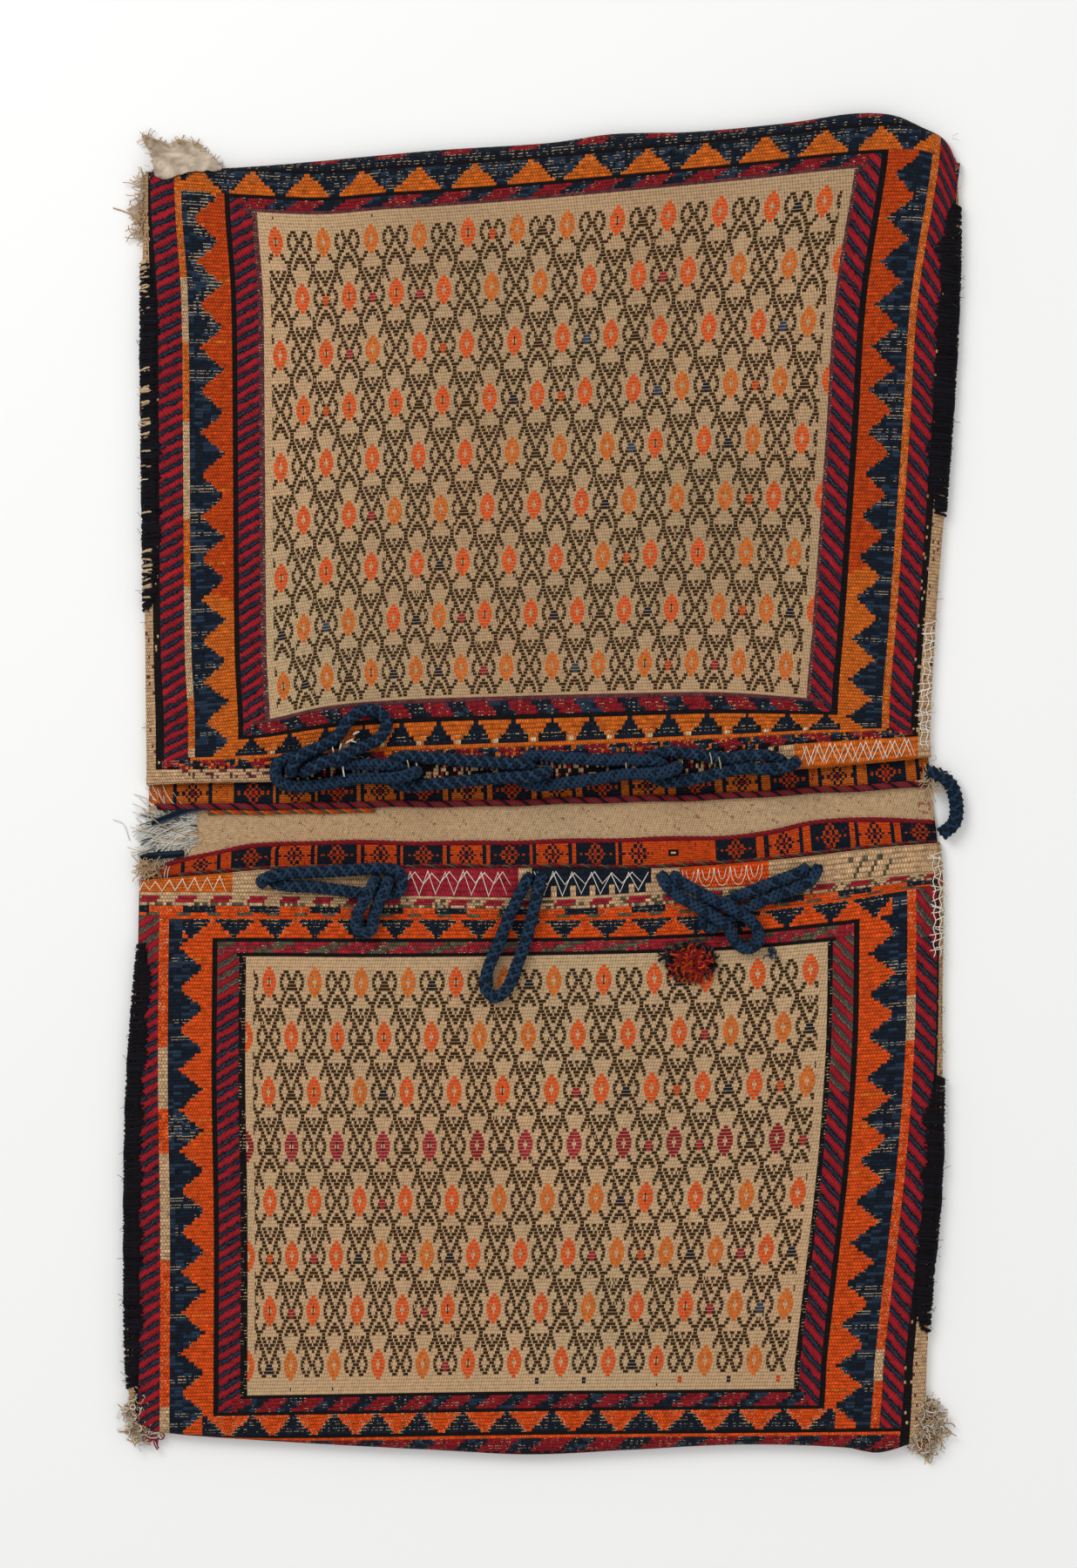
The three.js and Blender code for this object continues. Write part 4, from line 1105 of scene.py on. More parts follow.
def paint_upper_ends(cells):
    """The cross stripes at the mouth and the fold of the upper pouch."""
    c, r = cells.c, cells.r
    d = np.minimum(c, COLUMNS - c - 2)
    # at the mouth
    tabs = r < 4
    cells.fill(tabs, "cream", 0.08, floated=1)
    cells.flecks(tabs & (c > 14) & (c < 52) & (r > 1) & (saw(c + 2 * r, 7) < 0.5), "mauve", 0.7)
    right_tab = tabs & (c > 256) & (c < 303)
    cells.fill(right_tab, "gold", 0.07)
    cells.flecks(tabs & (c > 52) & (c < 250), "black", 0.7)
    cells.flecks(tabs & (c > 52) & (c < 250), "red", 0.1)
    flecks = (r > 4) & (r < 7) & (d > 7)
    mottled(cells, flecks, 17, 2.0, 0.14)
    cells.fill(flecks & (r < 5) & (saw(c, 9) < 0.5), "black", 0.2)
    cells.flecks(flecks, "gold", 0.12)
    line = (r > 7) & (r < 8) & (d > 17)
    cells.fill(line, "gold", 0.1)
    band = (r > 8) & (r < 13) & (d > 34)
    cells.fill(band, "gold", 0.1)
    height = np.floor(r - 8)
    away = np.abs(saw(c - 2, 15.2) - 0.5) * 15.2
    step = np.array([5.9, 5.2, 3.4, 2.4, 0.9])[np.clip(height, 0, 4).astype(int)]
    cells.fill(band & (away < step), "navy", 0.18)
    cells.fill(band & (height == 1) & (away < 5.2) & (away > 3.4), "black", 0.2)
    cells.wear(band & (height == 1), 0.6)
    cells.fill(band & (height < 1) & (away > 6.6), "light_cream", 0.1)
    cells.fill((r > 13) & (r < 14) & (d > 34.9), "black", 0.2)
    mottle = (r > 14) & (r < 18) & (d > 40)
    mottled(cells, mottle, 17, 1.6, 0.09)
    cells.fill(mottle & (r > 17), "mauve", 0.15)
    # at the fold
    mottle = (r > 172) & (r < 176) & (d > 42)
    mottled(cells, mottle, 18, -2.2, 0.07)
    cells.fill(mottle & (r < 173), "mauve", 0.2)
    cells.fill((r > 176) & (r < 177) & (d > 34.9), "black", 0.2)
    top = (r > 177) & (r < 184.5) & (d > 19)
    cells.fill(top, "navy", 0.16)
    height = np.floor(r - 177)
    away = np.abs(saw(c + 5, 20.3) - 0.5) * 20.3
    cells.fill(top & (away < 8.4 - height * 1.22), "gold", 0.1)
    cells.streaks(top & (away >= 8.4 - height * 1.22), "blue", 0.3)
    cells.wear(top & (np.mod(height, 2) == 1) & (away > 8.4 - height * 1.22), 0.45, 0.55)
    cells.wear(top & (height > 4), 0.2, 0.52)
    last = (r > 184.5) & (d > 16)
    cells.fill(last, "navy", 0.2)
    cells.wear(last & (r < 187), 0.3, 0.54)
    cells.fill(last & (r > 187) & (saw(c - r, 24) < 0.4), "red", 0.2)
    cells.fill(last & (r > 190), "black", 0.2)
    cells.wear(last & (r > 187) & (r < 191), 0.2)
    cells.fill((r > 186) & (d <= 16), "red", 0.2)
    cells.flecks((r > 183) & (d <= 16), "black", 0.5)


def paint_lower_ends(cells):
    """The cross stripes at the mouth and the fold of the lower pouch."""
    c, r = cells.c, cells.r
    d = np.minimum(c, COLUMNS - c - 2)
    tabs = r < 6
    cells.fill(tabs, "cream", 0.07)
    for low, high, name in ((4, 42, "gold"), (103, 151, "crimson"), (156, 199, "navy"), (209, 240, "flame")):
        cells.fill(tabs & (c > low) & (c < high) & (r < 5), name, 0.1)
    cells.fill(tabs & (c > 157) & (c < 199) & (r > 3) & (saw(c - 156.6, 6.8) < 0.3), "cream", 0.1)
    flecked = tabs & (c > 268) & (c < 283) & (r > 1) & (r < 5)
    cells.fill(flecked & (saw(c + 1.2 * r, 5) < 0.3), "olive", 0.22)
    dashes = (r > 6) & (r < 8)
    cells.fill(dashes, "cream", 0.08)
    cells.flecks(dashes & (c > 90), "olive", 0.3)
    cells.fill(dashes & (saw(c + 0.6 * r, 13) < 0.5), "crimson", 0.12)
    cells.fill((r > 8) & (r < 9), "olive", 0.2)
    cells.flecks((r > 8) & (r < 9), "cream", 0.5)
    pairs = (r > 9) & (r < 11)
    cells.fill(pairs, "flame", 0.12)
    cells.fill(pairs & (saw(c, 24) < 0.5), "navy", 0.2)
    cells.wear(pairs, 0.3)
    greys = (r > 11) & (r < 12)
    cells.fill(greys, "flame", 0.12)
    cells.fill(greys & (saw(c, 11) < 0.45), "olive", 0.2)
    cells.fill((r > 12) & (r < 13) & (d > 15.5), "flame", 0.1)
    band = (r > 13) & (r < 18) & (d > 24)
    cells.fill(band, "flame", 0.1)
    height = np.floor(18 - r)
    away = np.abs(saw(c - 4, 15.6) - 0.5) * 15.6
    step = np.array([1.0, 2.3, 3.6, 5.2, 6.6])[np.clip(height, 0, 4).astype(int)]
    cells.fill(band & (away < step), "navy", 0.18)
    cells.wear(band & (height >= 3) & (away < step), 0.6)
    cells.wear(band & (np.abs(away - step) < 0.8), 0.5)
    cells.fill((r > 18) & (r < 19) & (d > 35), "black", 0.2)
    blocks = (r > 19) & (r < 22) & (d > 37)
    cells.fill(blocks, "olive", 0.16)
    share = saw(c + np.floor(r - 19) * 4, 22)
    cells.fill(blocks & (share < 0.62), "crimson", 0.14)
    cells.wear(blocks, 0.15)
    cells.flecks(blocks, "mauve", 0.12)
    cells.fill((r > 22) & (r < 23) & (d > 44), "black", 0.2)
    # at the fold
    cells.fill((r > 151) & (r < 152) & (d > 44) & (saw(c, 5) < 0.7), "black", 0.2)
    mottle = (r > 152) & (r < 156) & (d > 42)
    mottled(cells, mottle, 15, 1.6, 0.07)
    cells.fill((r > 156) & (r < 157) & (d > 34.9), "black", 0.2)
    low = (r > 157) & (r < 163.5) & (d > 31)
    cells.fill(low, "flame", 0.1)
    height = np.floor(163.5 - r)
    away = np.abs(saw(c - 6, 17.3) - 0.5) * 17.3
    cells.fill(low & (away < 1.0 + (7.4 - height * 1.2)), "navy", 0.18)
    cells.wear(low & (np.abs(away - 8.4 + height * 1.2) < 0.9), 0.6, 0.58)
    cells.wear(low & (np.mod(height, 2) == 0) & (away < 7), 0.6)
    last = (r > 163.5) & (d > 8)
    cells.fill(last & (r < 165), "flame", 0.12)
    flecks = last & (r > 165)
    mottled(cells, flecks, 21, 1.4, 0.1)
    cells.fill(last & (r > 168.5), "black", 0.3)
    cells.flecks(last & (r > 168.5), "red", 0.3)


def paint_front(front):
    def paint(column, row):
        cells = Cells(column, row, front.seed)
        cells.fill(np.ones(len(column), bool), "black", 0.1)
        paint_sides(cells, front)
        if front.upper:
            paint_upper_ends(cells)
        else:
            paint_lower_ends(cells)
        paint_field(cells, front)
        return cells.rgba, cells.kinds

    return paint


def build_front(upper):
    """One pouch front: a lid of weave over the pouch, closed round its rim."""
    front = Front(upper)
    coarse = np.arange(-2, COLUMNS + 3, dtype=float)
    halves = np.arange(FIELD_FROM, FIELD_TO, 0.5)
    fine = np.concatenate([coarse[coarse < FIELD_FROM], halves, coarse[coarse >= FIELD_TO]])
    rows = np.arange(-2, front.rows + 1, dtype=float)
    u, v = np.meshgrid(np.linspace(2, COLUMNS - 2, 25), np.linspace(2, front.end + 9, 17))
    under = front.place(u, v)
    under[..., 2] = np.maximum(under[..., 2] - 3.0, 1.2)
    piece = lay_weave(
        front.name, rows, lambda row: fine if front.field <= row <= front.end else coarse,
        front.place, under, paint_front(front), not upper,
        ("plain_weave_wool", "wrapped_weft_wool", "slant_band_wool"))
    return piece


# ------------------------------------------------------------------ back and bridge

TRIM_LINE = smooth_curve([(-262, -15.4), (-190, -15), (0, -11.8), (120, -8), (200, -3.5), (262, 1)])
LOWER_BAND = smooth_curve([
    (-262, -57), (-239, -49.6), (-217, -44.9), (-193, -40.8), (-144, -38.5), (-59, -39), (80, -36.2),
    (124, -35), (153, -32), (183, -24.8), (212, -23.3), (268, -24.5)])
BRIDGE_COLUMNS = 618


def bridge_place(column, row):
    """Where the bridge's and the back's cells are. Rows run from the upper fold to the lower."""
    share = column / BRIDGE_COLUMNS
    x = -265 + share * 530
    upper, lower = smooth_curve(UPPER_MOUTH), smooth_curve(LOWER_MOUTH)
    for _ in range(3):
        keys = [
            (-4, smooth_curve(TOP_FOLD)(x) - 7), (0, upper(x) + 5), (3, upper(x) - 0.3),
            (13, TRIM_LINE(x) + 1.6), (16, TRIM_LINE(x) - 2.2), (38, LOWER_BAND(x)),
            (40, LOWER_BAND(x) - 2.2), (51, lower(x) + 2.6), (54, lower(x) + 0.2),
            (57, lower(x) - 5), (61, smooth_curve(BOTTOM_FOLD)(x) + 7),
        ]
        y = keys[0][1]
        for (ra, ya), (rb, yb) in zip(keys, keys[1:]):
            y = np.where((row > ra) & (row <= rb), ya + (row - ra) / (rb - ra) * (yb - ya), y)
        tear = 25.5 * ease(y, -45, -38) * (1 - ease(y, -25, -19)) * (1 + 0.06 * np.sin(y * 1.9))
        left = left_edge(y) + 0.9
        right = right_edge(y) - 0.9
        x = left + share * (right - left) + tear * np.clip(1 - share * 4, 0, 1) ** 2
        left = left + tear
    rise = ease(row, 2.5, 5) * (1 - ease(row, 11, 15)) * 1.6
    rise = rise + ease(row, 37, 40) * (1 - ease(row, 53, 55)) * 2.0
    rise = rise * ease(np.minimum(x - left, right - x), 0, 8)
    open_part = ease(row, 1, 4) * (1 - ease(row, 53, 56))
    z = size("back_thickness") + rise + open_part * (0.25 * ripple(x, y, 50, 3) + 0.12 * ripple(x, y, 14, 4))
    return np.stack([x, y, z], axis=-1)


def compartments(cells, here, centre, dark, rise):
    """A square with a dotted figure: orange on dark or dark on orange."""
    x = -265 + cells.c * 530 / BRIDGE_COLUMNS
    from_middle = x - centre
    box = here & (np.abs(from_middle) < 10.6)
    ground, dots = ("navy", "orange") if dark else (None, "navy")
    if ground:
        cells.fill(box, ground, 0.12)
    a, b = np.round(from_middle / 1.95), np.round(rise * 3.1)
    spread = np.abs(a) * 0.8 + np.abs(b)
    figure = box & (np.mod(a + b, 2) == 1) & (spread < 4.1) & (spread > 0.6)
    cells.fill(figure, dots, 0.12)
    cells.fill(box & (np.abs(a) < 1) & (np.abs(b) < 1), "red", 0.12)


def paint_bridge(column, row):
    cells = Cells(column, row, SEED + 5)
    c, r = column, row
    x = -265 + c * 530 / BRIDGE_COLUMNS
    everything = np.ones(len(c), bool)
    cells.fill(everything, "cream", 0.03, floated=0.0, kind=0)
    for start, stop, upper in ((3, 13, True), (40, 51, False)):
        band = (r > start) & (r < stop)
        rise = (r - (start + stop) / 2) / (stop - start) * 2
        cells.fill(band, "gold" if upper else "flame", 0.1)
        if upper:
            centres = [-235.5] + [-194.2 + 28 * k + 0.19 * k * k for k in range(16)]
            dark = [False] + [k % 2 == 0 for k in range(16)]
        else:
            centres = [-228.5] + [-195 + 28.8 * k for k in range(10)] + [129.5, 162, 193.7, 223.4, 254]
            dark = [False] + [k % 2 == 0 for k in range(10)] + [True, False, True, False, True]
        distance = np.min([np.abs(x - m) for m in centres], axis=0)
        bars = band & (distance >= 10.6)
        cells.fill(bars & (distance < 13.3), "navy", 0.14)
        for m, is_dark in zip(centres, dark):
            compartments(cells, band, m, is_dark, rise)
        if not upper:
            cells.fill(band & (x > 74) & (x < 100), "flame", 0.1)
            cells.fill(band & (x > 84) & (x < 91) & (np.abs(rise) < 0.3), "black", 0.1)
            cells.fill(band & (x > 86) & (x < 89) & (np.abs(rise) < 0.16), "light_cream", 0.1)
        cells.flecks(band, "red", 0.02)
    for start, stop in ((13, 14), (37.6, 40), (51, 54.5)):
        line = (r > start) & (r < stop)
        cells.fill(line, "red", 0.16)
        cells.flecks(line, "mauve", 0.2)
        cells.flecks(line & (r > 51), "olive", 0.18)
    # the plain part's short slanted slits
    plain = (r > 16) & (r < 37)
    row_number = np.floor((r - 16) / 2)
    slit = plain & (saw(c - 3.1 * row_number, 26) < 0.09) & (np.mod(row_number, 3) > 0)
    picked = slit & (cells.noise < 0.4)
    cells.fill(picked, "brown", 0.3, floated=0.55, kind=0)
    cells.fill(plain & (cells.noise > 0.9985), "red", 0.2, floated=0.8, kind=0)
    square = plain & (np.abs(x - 259) < 4.5) & (np.abs(r - 30) < 4)
    ring = square & ((np.abs(x - 259) > 2.4) | (np.abs(r - 30) > 2))
    cells.fill(ring & (cells.noise < 0.6), "crimson", 0.2, floated=0.7, kind=0)
    return cells.rgba, cells.kinds


def build_bridge():
    rows = np.concatenate([np.arange(-4, 0), np.arange(0, 58), np.arange(58, 62)]).astype(float)
    columns = np.arange(0, BRIDGE_COLUMNS + 1, dtype=float)
    u, v = np.meshgrid(np.linspace(0, BRIDGE_COLUMNS, 33),
                       np.array([-4, -2, 0, 6, 13, 22, 26, 30, 38, 46, 51, 57, 59, 61.0]))
    under = bridge_place(u, v)
    under[..., 2] = 0.0
    return lay_weave("bridge_and_back", rows, lambda row: columns, bridge_place, under, paint_bridge,
                     True, ("plain_weave_wool", "wrapped_weft_wool"), stitch=(0.5, 1))


# ------------------------------------------------------------------ braids


def frames_along(line):
    """Two unit normals along a line, carried without twisting."""
    along = np.gradient(line, axis=0)
    along /= np.linalg.norm(along, axis=1, keepdims=True)
    first = np.cross(along[0], (0, 0, 1.0))
    if np.linalg.norm(first) < 0.3:
        first = np.cross(along[0], (0, 1.0, 0))
    normals = [first / np.linalg.norm(first)]
    for i in range(1, len(line)):
        carried = normals[-1] - along[i] * np.dot(normals[-1], along[i])
        normals.append(carried / np.linalg.norm(carried))
    normals = np.array(normals)
    return normals, np.cross(along, normals)


def braid(yarns, line, diameter, name, seed, pitch=15.0, strands=4):
    """A round plait along line: a core painted almost black as the shade between the strands, and strands
    that cross over and under each other, every other one painted lighter as highlight and the rest darker as
    shade.
    """
    rng = np.random.default_rng(seed)
    normals, others = frames_along(line)
    step = np.linalg.norm(np.diff(line, axis=0), axis=1).mean()
    travelled = np.arange(len(line)) * step
    # painted shade: the core is almost black and shows as the shade between the strands
    yarns.add(line[::2] if len(line) % 2 else np.vstack([line[::2], line[-1:]]), diameter * 0.34,
              colour(name) * 0.2, sides=7)
    strand = diameter * 0.15
    for way in (1, -1):
        for k in range(strands):
            turn = way * travelled / pitch * math.tau + k * math.tau / strands
            weave = np.cos(turn * strands / 2 * way * 2 + (0 if way > 0 else math.pi))
            radius = diameter / 2 - strand * 0.9 + 0.5 * strand * weave
            around = np.cos(turn)[:, None] * normals + np.sin(turn)[:, None] * others
            path = line + around * radius[:, None]
            # painted highlight and shade: every other strand is painted lighter and the rest darker, lit and
            # shaded copies of one colour
            shade = tinted(name, rng, 0.14) * (1.75 if (k + (way > 0)) % 2 else 0.6)
            if rng.random() < 0.3:
                shade = shade * 0.5 + colour("blue") * 0.6
            yarns.add(path, strand, shade, sides=5, up=(0.31, 0.17, 0.93))


def spin(yarns, line, names, radius, pitch, seed, sides=5):
    """Plies of yarn twisted round each other along line."""
    rng = np.random.default_rng(seed)
    normals, others = frames_along(line)
    step = np.linalg.norm(np.diff(line, axis=0), axis=1).mean()
    travelled = np.arange(len(line)) * step
    for k, name in enumerate(names):
        turn = travelled / pitch * math.tau + k * math.tau / len(names)
        around = np.cos(turn)[:, None] * normals + np.sin(turn)[:, None] * others
        yarns.add(line + around * radius * 0.62, radius * 0.62, tinted(name, rng), sides=sides)


def braided_cord(name, route, diameter, seed, node):
    line = through(route, 1.25)
    yarns = Yarns()
    braid(yarns, line, diameter, "braid", seed)
    piece = keep(yarns.build(name, "braided_navy_wool"), "braided_wool", node)
    return piece


def build_loops():
    for i, (name, route) in enumerate(loop_routes().items()):
        braid_name = name.replace("closure_loop", "closure_loop_braid")
        braided_cord(braid_name, route, size("cord_diameter"), 20 + i, name)


def build_side_cords():
    """The cord that stands away from the bridge at the right, and the rags of its pair at the left."""
    braided_cord("side_cord_braid", SIDE_CORD_ROUTE, size("side_cord_diameter"), 41, "side_cord_right")
    rng = np.random.default_rng(SEED + 40)
    for node, route in STUB_ROUTES.items():
        line = through(route, 1.5)
        yarns = Yarns()
        for _ in range(16):
            angle, out = rng.uniform(0, math.tau), rng.uniform(0.4, 2.2)
            swing = np.linspace(0, rng.uniform(-2, 2), len(line)) + angle
            offset = np.stack([0 * swing, np.cos(swing) * out, np.sin(swing) * out * 0.8], axis=1)
            shade = tinted("navy" if rng.random() < 0.75 else "blue", rng, 0.2)
            yarns.add(line + offset, 0.75, shade, sides=4, taper=True)
        piece = keep(yarns.build(node.replace("cord_stub", "cord_rag"), "braided_navy_wool"),
                     "braided_wool", node)


# ------------------------------------------------------------------ sewing over the edges

def front_height(x, y):
    """About how high the bag's top is at a place near a side."""
    inwards = np.minimum(x - left_edge(y), right_edge(y) - x)
    climb = ease(inwards, -size("seam_reach") * 0.2, size("seam_reach"))
    return size("seam_height") + (size("rim_height") - size("seam_height")) * climb


def stitch_over(yarns, side, y, reach, lean, radius, shade, rng, proud=0.7):
    """One yarn sewn over the edge: from the front, round the side, and down to the floor."""
    edge = left_edge if side < 0 else right_edge
    inwards = np.array([reach, reach * 0.72, reach * 0.45, reach * 0.2, 0.2, -1.2 - proud * 0.5,
                        -1.7 - proud * 0.5, -1.4 - proud * 0.5])
    share = np.linspace(0, 1, len(inwards))
    ys = y + lean * share + rng.normal(0, 0.12, len(share))
    xs = edge(ys) - side * inwards
    top = front_height(xs, ys) + proud + radius * 0.6
    drop = np.array([1, 1, 1, 1, 1, 0.66, 0.36, 0.08])
    zs = np.maximum(top * drop, radius + 0.3)
    zs[0] -= radius * 1.6
    yarns.add(np.stack([xs, ys, zs], axis=1), radius, shade, sides=4, up=(0, 1, 0.01))


def build_wraps():
    """Black wool sewn close over the four seams, matted and hairy."""
    rng = np.random.default_rng(SEED + 50)
    spans = {
        "edge_wrap_upper_left": (-1, 118, 350, 10.5), "edge_wrap_upper_right": (1, 181, 388, 13),
        "edge_wrap_lower_left": (-1, -404, -108, 10.5), "edge_wrap_lower_right": (1, -366, -196, 11.5),
    }
    for node, (side, low, high, reach) in spans.items():
        yarns = Yarns()
        ys = np.linspace(low + 2, high - 2, 60)
        for inwards, z, radius in ((0.6, 4.2, 2.9), (2.4, 6.6, 2.2), (6.0, 8.6, 2.2)):
            xs = (left_edge if side < 0 else right_edge)(ys) - side * (inwards + 0.5 * np.sin(ys / 5 + z))
            yarns.add(np.stack([xs, ys, np.full(60, z)], axis=1), radius, colour("wrap") * 0.7, sides=8,
                      taper=True)
        y = low
        while y < high:
            y += rng.uniform(0.9, 1.5)
            near_end = min(y - low, high - y)
            here = reach * (0.4 + 0.6 * min(near_end / 24, 1)) * rng.uniform(0.8, 1.08)
            here *= 1 + 0.18 * math.sin(y / 11) * math.sin(y / 4.3)
            shade = tinted("wrap", rng, 0.25)
            if rng.random() < 0.1:
                shade = shade * 0.6 + colour("navy") * 0.6
            if node.endswith("upper_left") and rng.random() < 0.22 + 0.2 * math.sin(y / 17.3):
                shade, here = tinted("light_cream", rng, 0.15), here * 0.55
            stitch_over(yarns, side, y, here, rng.uniform(-4, 1), rng.uniform(0.75, 1.05), shade, rng,
                        proud=0.9 * rng.uniform(0.4, 1.1))
        for _ in range(int((high - low) / 1.3)):     # loose hairs
            at = rng.uniform(low, high)
            edge = left_edge if side < 0 else right_edge
            start = np.array([edge(at) - side * rng.uniform(-2, reach * 0.7), at, 8.5])
            way = np.array([side * rng.uniform(-0.2, 1), rng.uniform(-1, 1), rng.uniform(-0.4, 0.6)])
            bend = np.array([rng.normal(0, 1), rng.normal(0, 1), 0.3])
            t = np.linspace(0, 1, 5)[:, None]
            hair = start + way * t * rng.uniform(2, 5) + bend * t * t * 1.4
            hair[:, 2] = np.maximum(hair[:, 2], 1.2)
            yarns.add(hair, 0.18, tinted("wrap" if rng.random() < 0.8 else "blue", rng, 0.2), sides=3)
        keep(yarns.build(node.replace("edge_wrap", "overcast_seam"), "overcast_black_wool"),
             "overcast_wool", node)


def build_mends():
    """Pale cotton sewn over the right seams beside the bridge, in slack uneven stitches."""
    rng = np.random.default_rng(SEED + 60)
    for node, low, high in (("mending_thread_upper", 24, 106), ("mending_thread_lower", -116, -48)):
        yarns = Yarns()
        y = low
        while y < high:
            y += rng.uniform(2.6, 6.5)
            for _ in range(rng.integers(1, 3)):
                stitch_over(yarns, 1, min(y, high) + rng.normal(0, 0.8), rng.uniform(5, 9.5),
                            rng.uniform(-6, 6), 0.32, tinted("cotton", rng, 0.08) * 0.85, rng, proud=0.2)
        along = np.linspace(low, high, 40)
        for inwards in (1.5, 5.5):
            xs = right_edge(along) - inwards + np.sin(along * 0.6) * 0.8
            zs = front_height(xs, along) + 0.6
            yarns.add(np.stack([xs, along, zs], axis=1), 0.3, tinted("cotton", rng, 0.05) * 0.85, sides=4)
        keep(yarns.build(node.replace("thread", "stitches"), "cotton_thread"), "cotton_thread", node)


def build_tab_stitches():
    """Pale zigzags and scallops over the coloured tabs at the two mouths."""
    rng = np.random.default_rng(SEED + 65)
    yarns = Yarns()
    upper, lower = Front(True), Front(False)

    def run(front, columns, rows, name="cream"):
        ends = front.place(np.asarray(columns, float), np.asarray(rows, float))
        ends[:, 2] += 0.4
        for a, b in zip(ends, ends[1:]):
            line = a + (b - a) * np.linspace(-0.04, 1.04, 4)[:, None]
            line[[0, -1], 2] -= 0.5
            yarns.add(line, rng.uniform(0.2, 0.3), tinted(name, rng, 0.12) * 0.75, sides=4)

    def sewn(front, low, high, pitch, bottom, top, name="cream", twice=False):
        for shift in (0, 1) if twice else (0,):
            columns = np.arange(low + shift * pitch * 0.4, high, pitch)
            columns = columns + rng.normal(0, 0.16, len(columns))
            rows = np.where(np.arange(len(columns)) % 2 == shift, bottom, top)
            run(front, columns, rows + rng.normal(0, 0.12, len(columns)), name)

    sewn(upper, 258, 302, 2.7, 0.5, 3.5, twice=True)
    sewn(lower, 5, 41, 2.3, 0.5, 4.4)
    sewn(lower, 104, 150, 3.3, 0.5, 4.6, "light_cream")
    sewn(lower, 105.6, 149, 3.3, 0.5, 2.6, "light_cream")
    sewn(lower, 157, 198, 3.4, 0.6, 4.6, "light_cream")
    sewn(lower, 158, 198, 3.4, 0.6, 2.8, "light_cream")
    for start in np.arange(210, 237, 5.6):
        run(lower, start + np.array([0, 0.3, 1.4, 2.7, 4.0, 5.1, 5.4]), [0.5, 2.6, 4.2, 4.7, 4.2, 2.6, 0.5])
        run(lower, start + np.array([1.3, 2.0, 2.7, 3.4, 4.1]), [0.8, 2.8, 3.2, 2.8, 0.8])
    keep(yarns.build("tab_stitches", "cotton_thread"), "woven_wool")


def build_trim():
    """The plied cord sewn under the upper band, and the thinner orange one below its left part."""
    yarns = Yarns()
    x = np.linspace(-258, 258, 420)
    wander = 0.35 * np.sin(x / 9) + 0.3 * np.sin(x / 23)
    line = np.stack([x, TRIM_LINE(x) + wander, np.full(len(x), 5.0)], axis=1)
    spin(yarns, line, ("red", "mauve", "red", "navy"), size("trim_radius"), 13.0, 1)
    x = np.linspace(-224, -112, 120)
    line = np.stack([x, TRIM_LINE(x) - 3.8 + 0.3 * np.sin(x / 7), np.full(len(x), 4.0)], axis=1)
    spin(yarns, line, ("orange", "gold", "olive"), 1.5, 11.0, 2)
    keep(yarns.build("plied_trim", "dyed_pile_wool"), "woven_wool")

    # the lower band's two red edges are plied too
    yarns = Yarns()
    x = np.linspace(-252, 262, 380)
    line = np.stack([x, LOWER_BAND(x) - 0.8 + 0.3 * np.sin(x / 11), np.full(len(x), 4.2)], axis=1)
    spin(yarns, line, ("red", "crimson", "red"), 1.4, 12.0, 3, sides=4)
    mouth = smooth_curve(LOWER_MOUTH)
    x = np.linspace(-244, 258, 380)
    line = np.stack([x, mouth(x) + 1.8 + 0.4 * np.sin(x / 13), np.full(len(x), 4.6)], axis=1)
    spin(yarns, line, ("red", "mauve", "olive"), 1.4, 13.0, 4, sides=4)
    keep(yarns.build("band_edging", "dyed_pile_wool"), "woven_wool")


# ------------------------------------------------------------------ tufts, scraps and loose yarn


def curl(rng, start, way, length, wild, count=7, floor=0.5):
    """A loose fibre that wanders as it goes."""
    points = [np.array(start, float)]
    heading = np.array(way, float)
    heading /= np.linalg.norm(heading)
    turn = rng.normal(0, wild)
    for _ in range(count - 1):
        heading = heading + rng.normal(0, wild * 0.35, 3)
        c, s = math.cos(turn), math.sin(turn)
        heading = np.array([heading[0] * c - heading[1] * s, heading[0] * s + heading[1] * c,
                            heading[2] * 0.8])
        heading /= np.linalg.norm(heading)
        points.append(points[-1] + heading * length / (count - 1))
    points = np.array(points)
    points[:, 2] = np.maximum(points[:, 2], floor)
    return points


def build_pompom():
    """A flattened tassel of cut yarn, orange and red in the middle and dark at its rim."""
    rng = np.random.default_rng(SEED + 70)
    yarns = Yarns()
    for _ in range(420):
        angle = rng.uniform(0, math.tau)
        out = math.sqrt(rng.random())
        x, y = 100.5 + 17 * out * math.cos(angle), -118.6 + 12.5 * out * math.sin(angle)
        dark = out > 0.74 and (math.sin(angle) > -0.35 or rng.random() < 0.3)
        name = rng.choice(["mauve", "black", "navy"]) if dark else rng.choice(
            ["orange", "red", "orange", "crimson"])
        way = (math.cos(angle) * 1.2 + rng.normal(0, 0.5), math.sin(angle) + rng.normal(0, 0.5),
               rng.uniform(0.1, 1.2) * (1.2 - out))
        start = (x - 3 * math.cos(angle), y - 3 * math.sin(angle), 15 + 5.5 * (1 - out * out) * rng.random())
        yarns.add(curl(rng, start, way, rng.uniform(4, 8.5), 0.5, 5, 14.6), rng.uniform(0.5, 0.8),
                  tinted(name, rng, 0.2), sides=4)
    for k in range(7):      # a dark tail at the left
        yarns.add(curl(rng, (86, -116 + k * 0.5, 16), (-1, 0.1, 0), 9, 0.25, 5, 14.6), 0.5,
                  tinted("navy", rng, 0.2), sides=4)
    keep(yarns.build("tassel_pompom", "dyed_pile_wool"), "tassel_wool", "pompom")

    yarns = Yarns()
    for k in range(14):
        yarns.add(curl(rng, (153 + rng.normal(0, 1.3), -114 + rng.normal(0, 1.5), 15 + rng.uniform(0, 2)),
                       rng.normal(0, 1, 3), 6, 0.9, 7, 14.4), 0.5, tinted("blue", rng, 0.2), sides=4)
    keep(yarns.build("blue_yarn_knot", "dyed_pile_wool"), "knot_wool", "yarn_knot_blue")


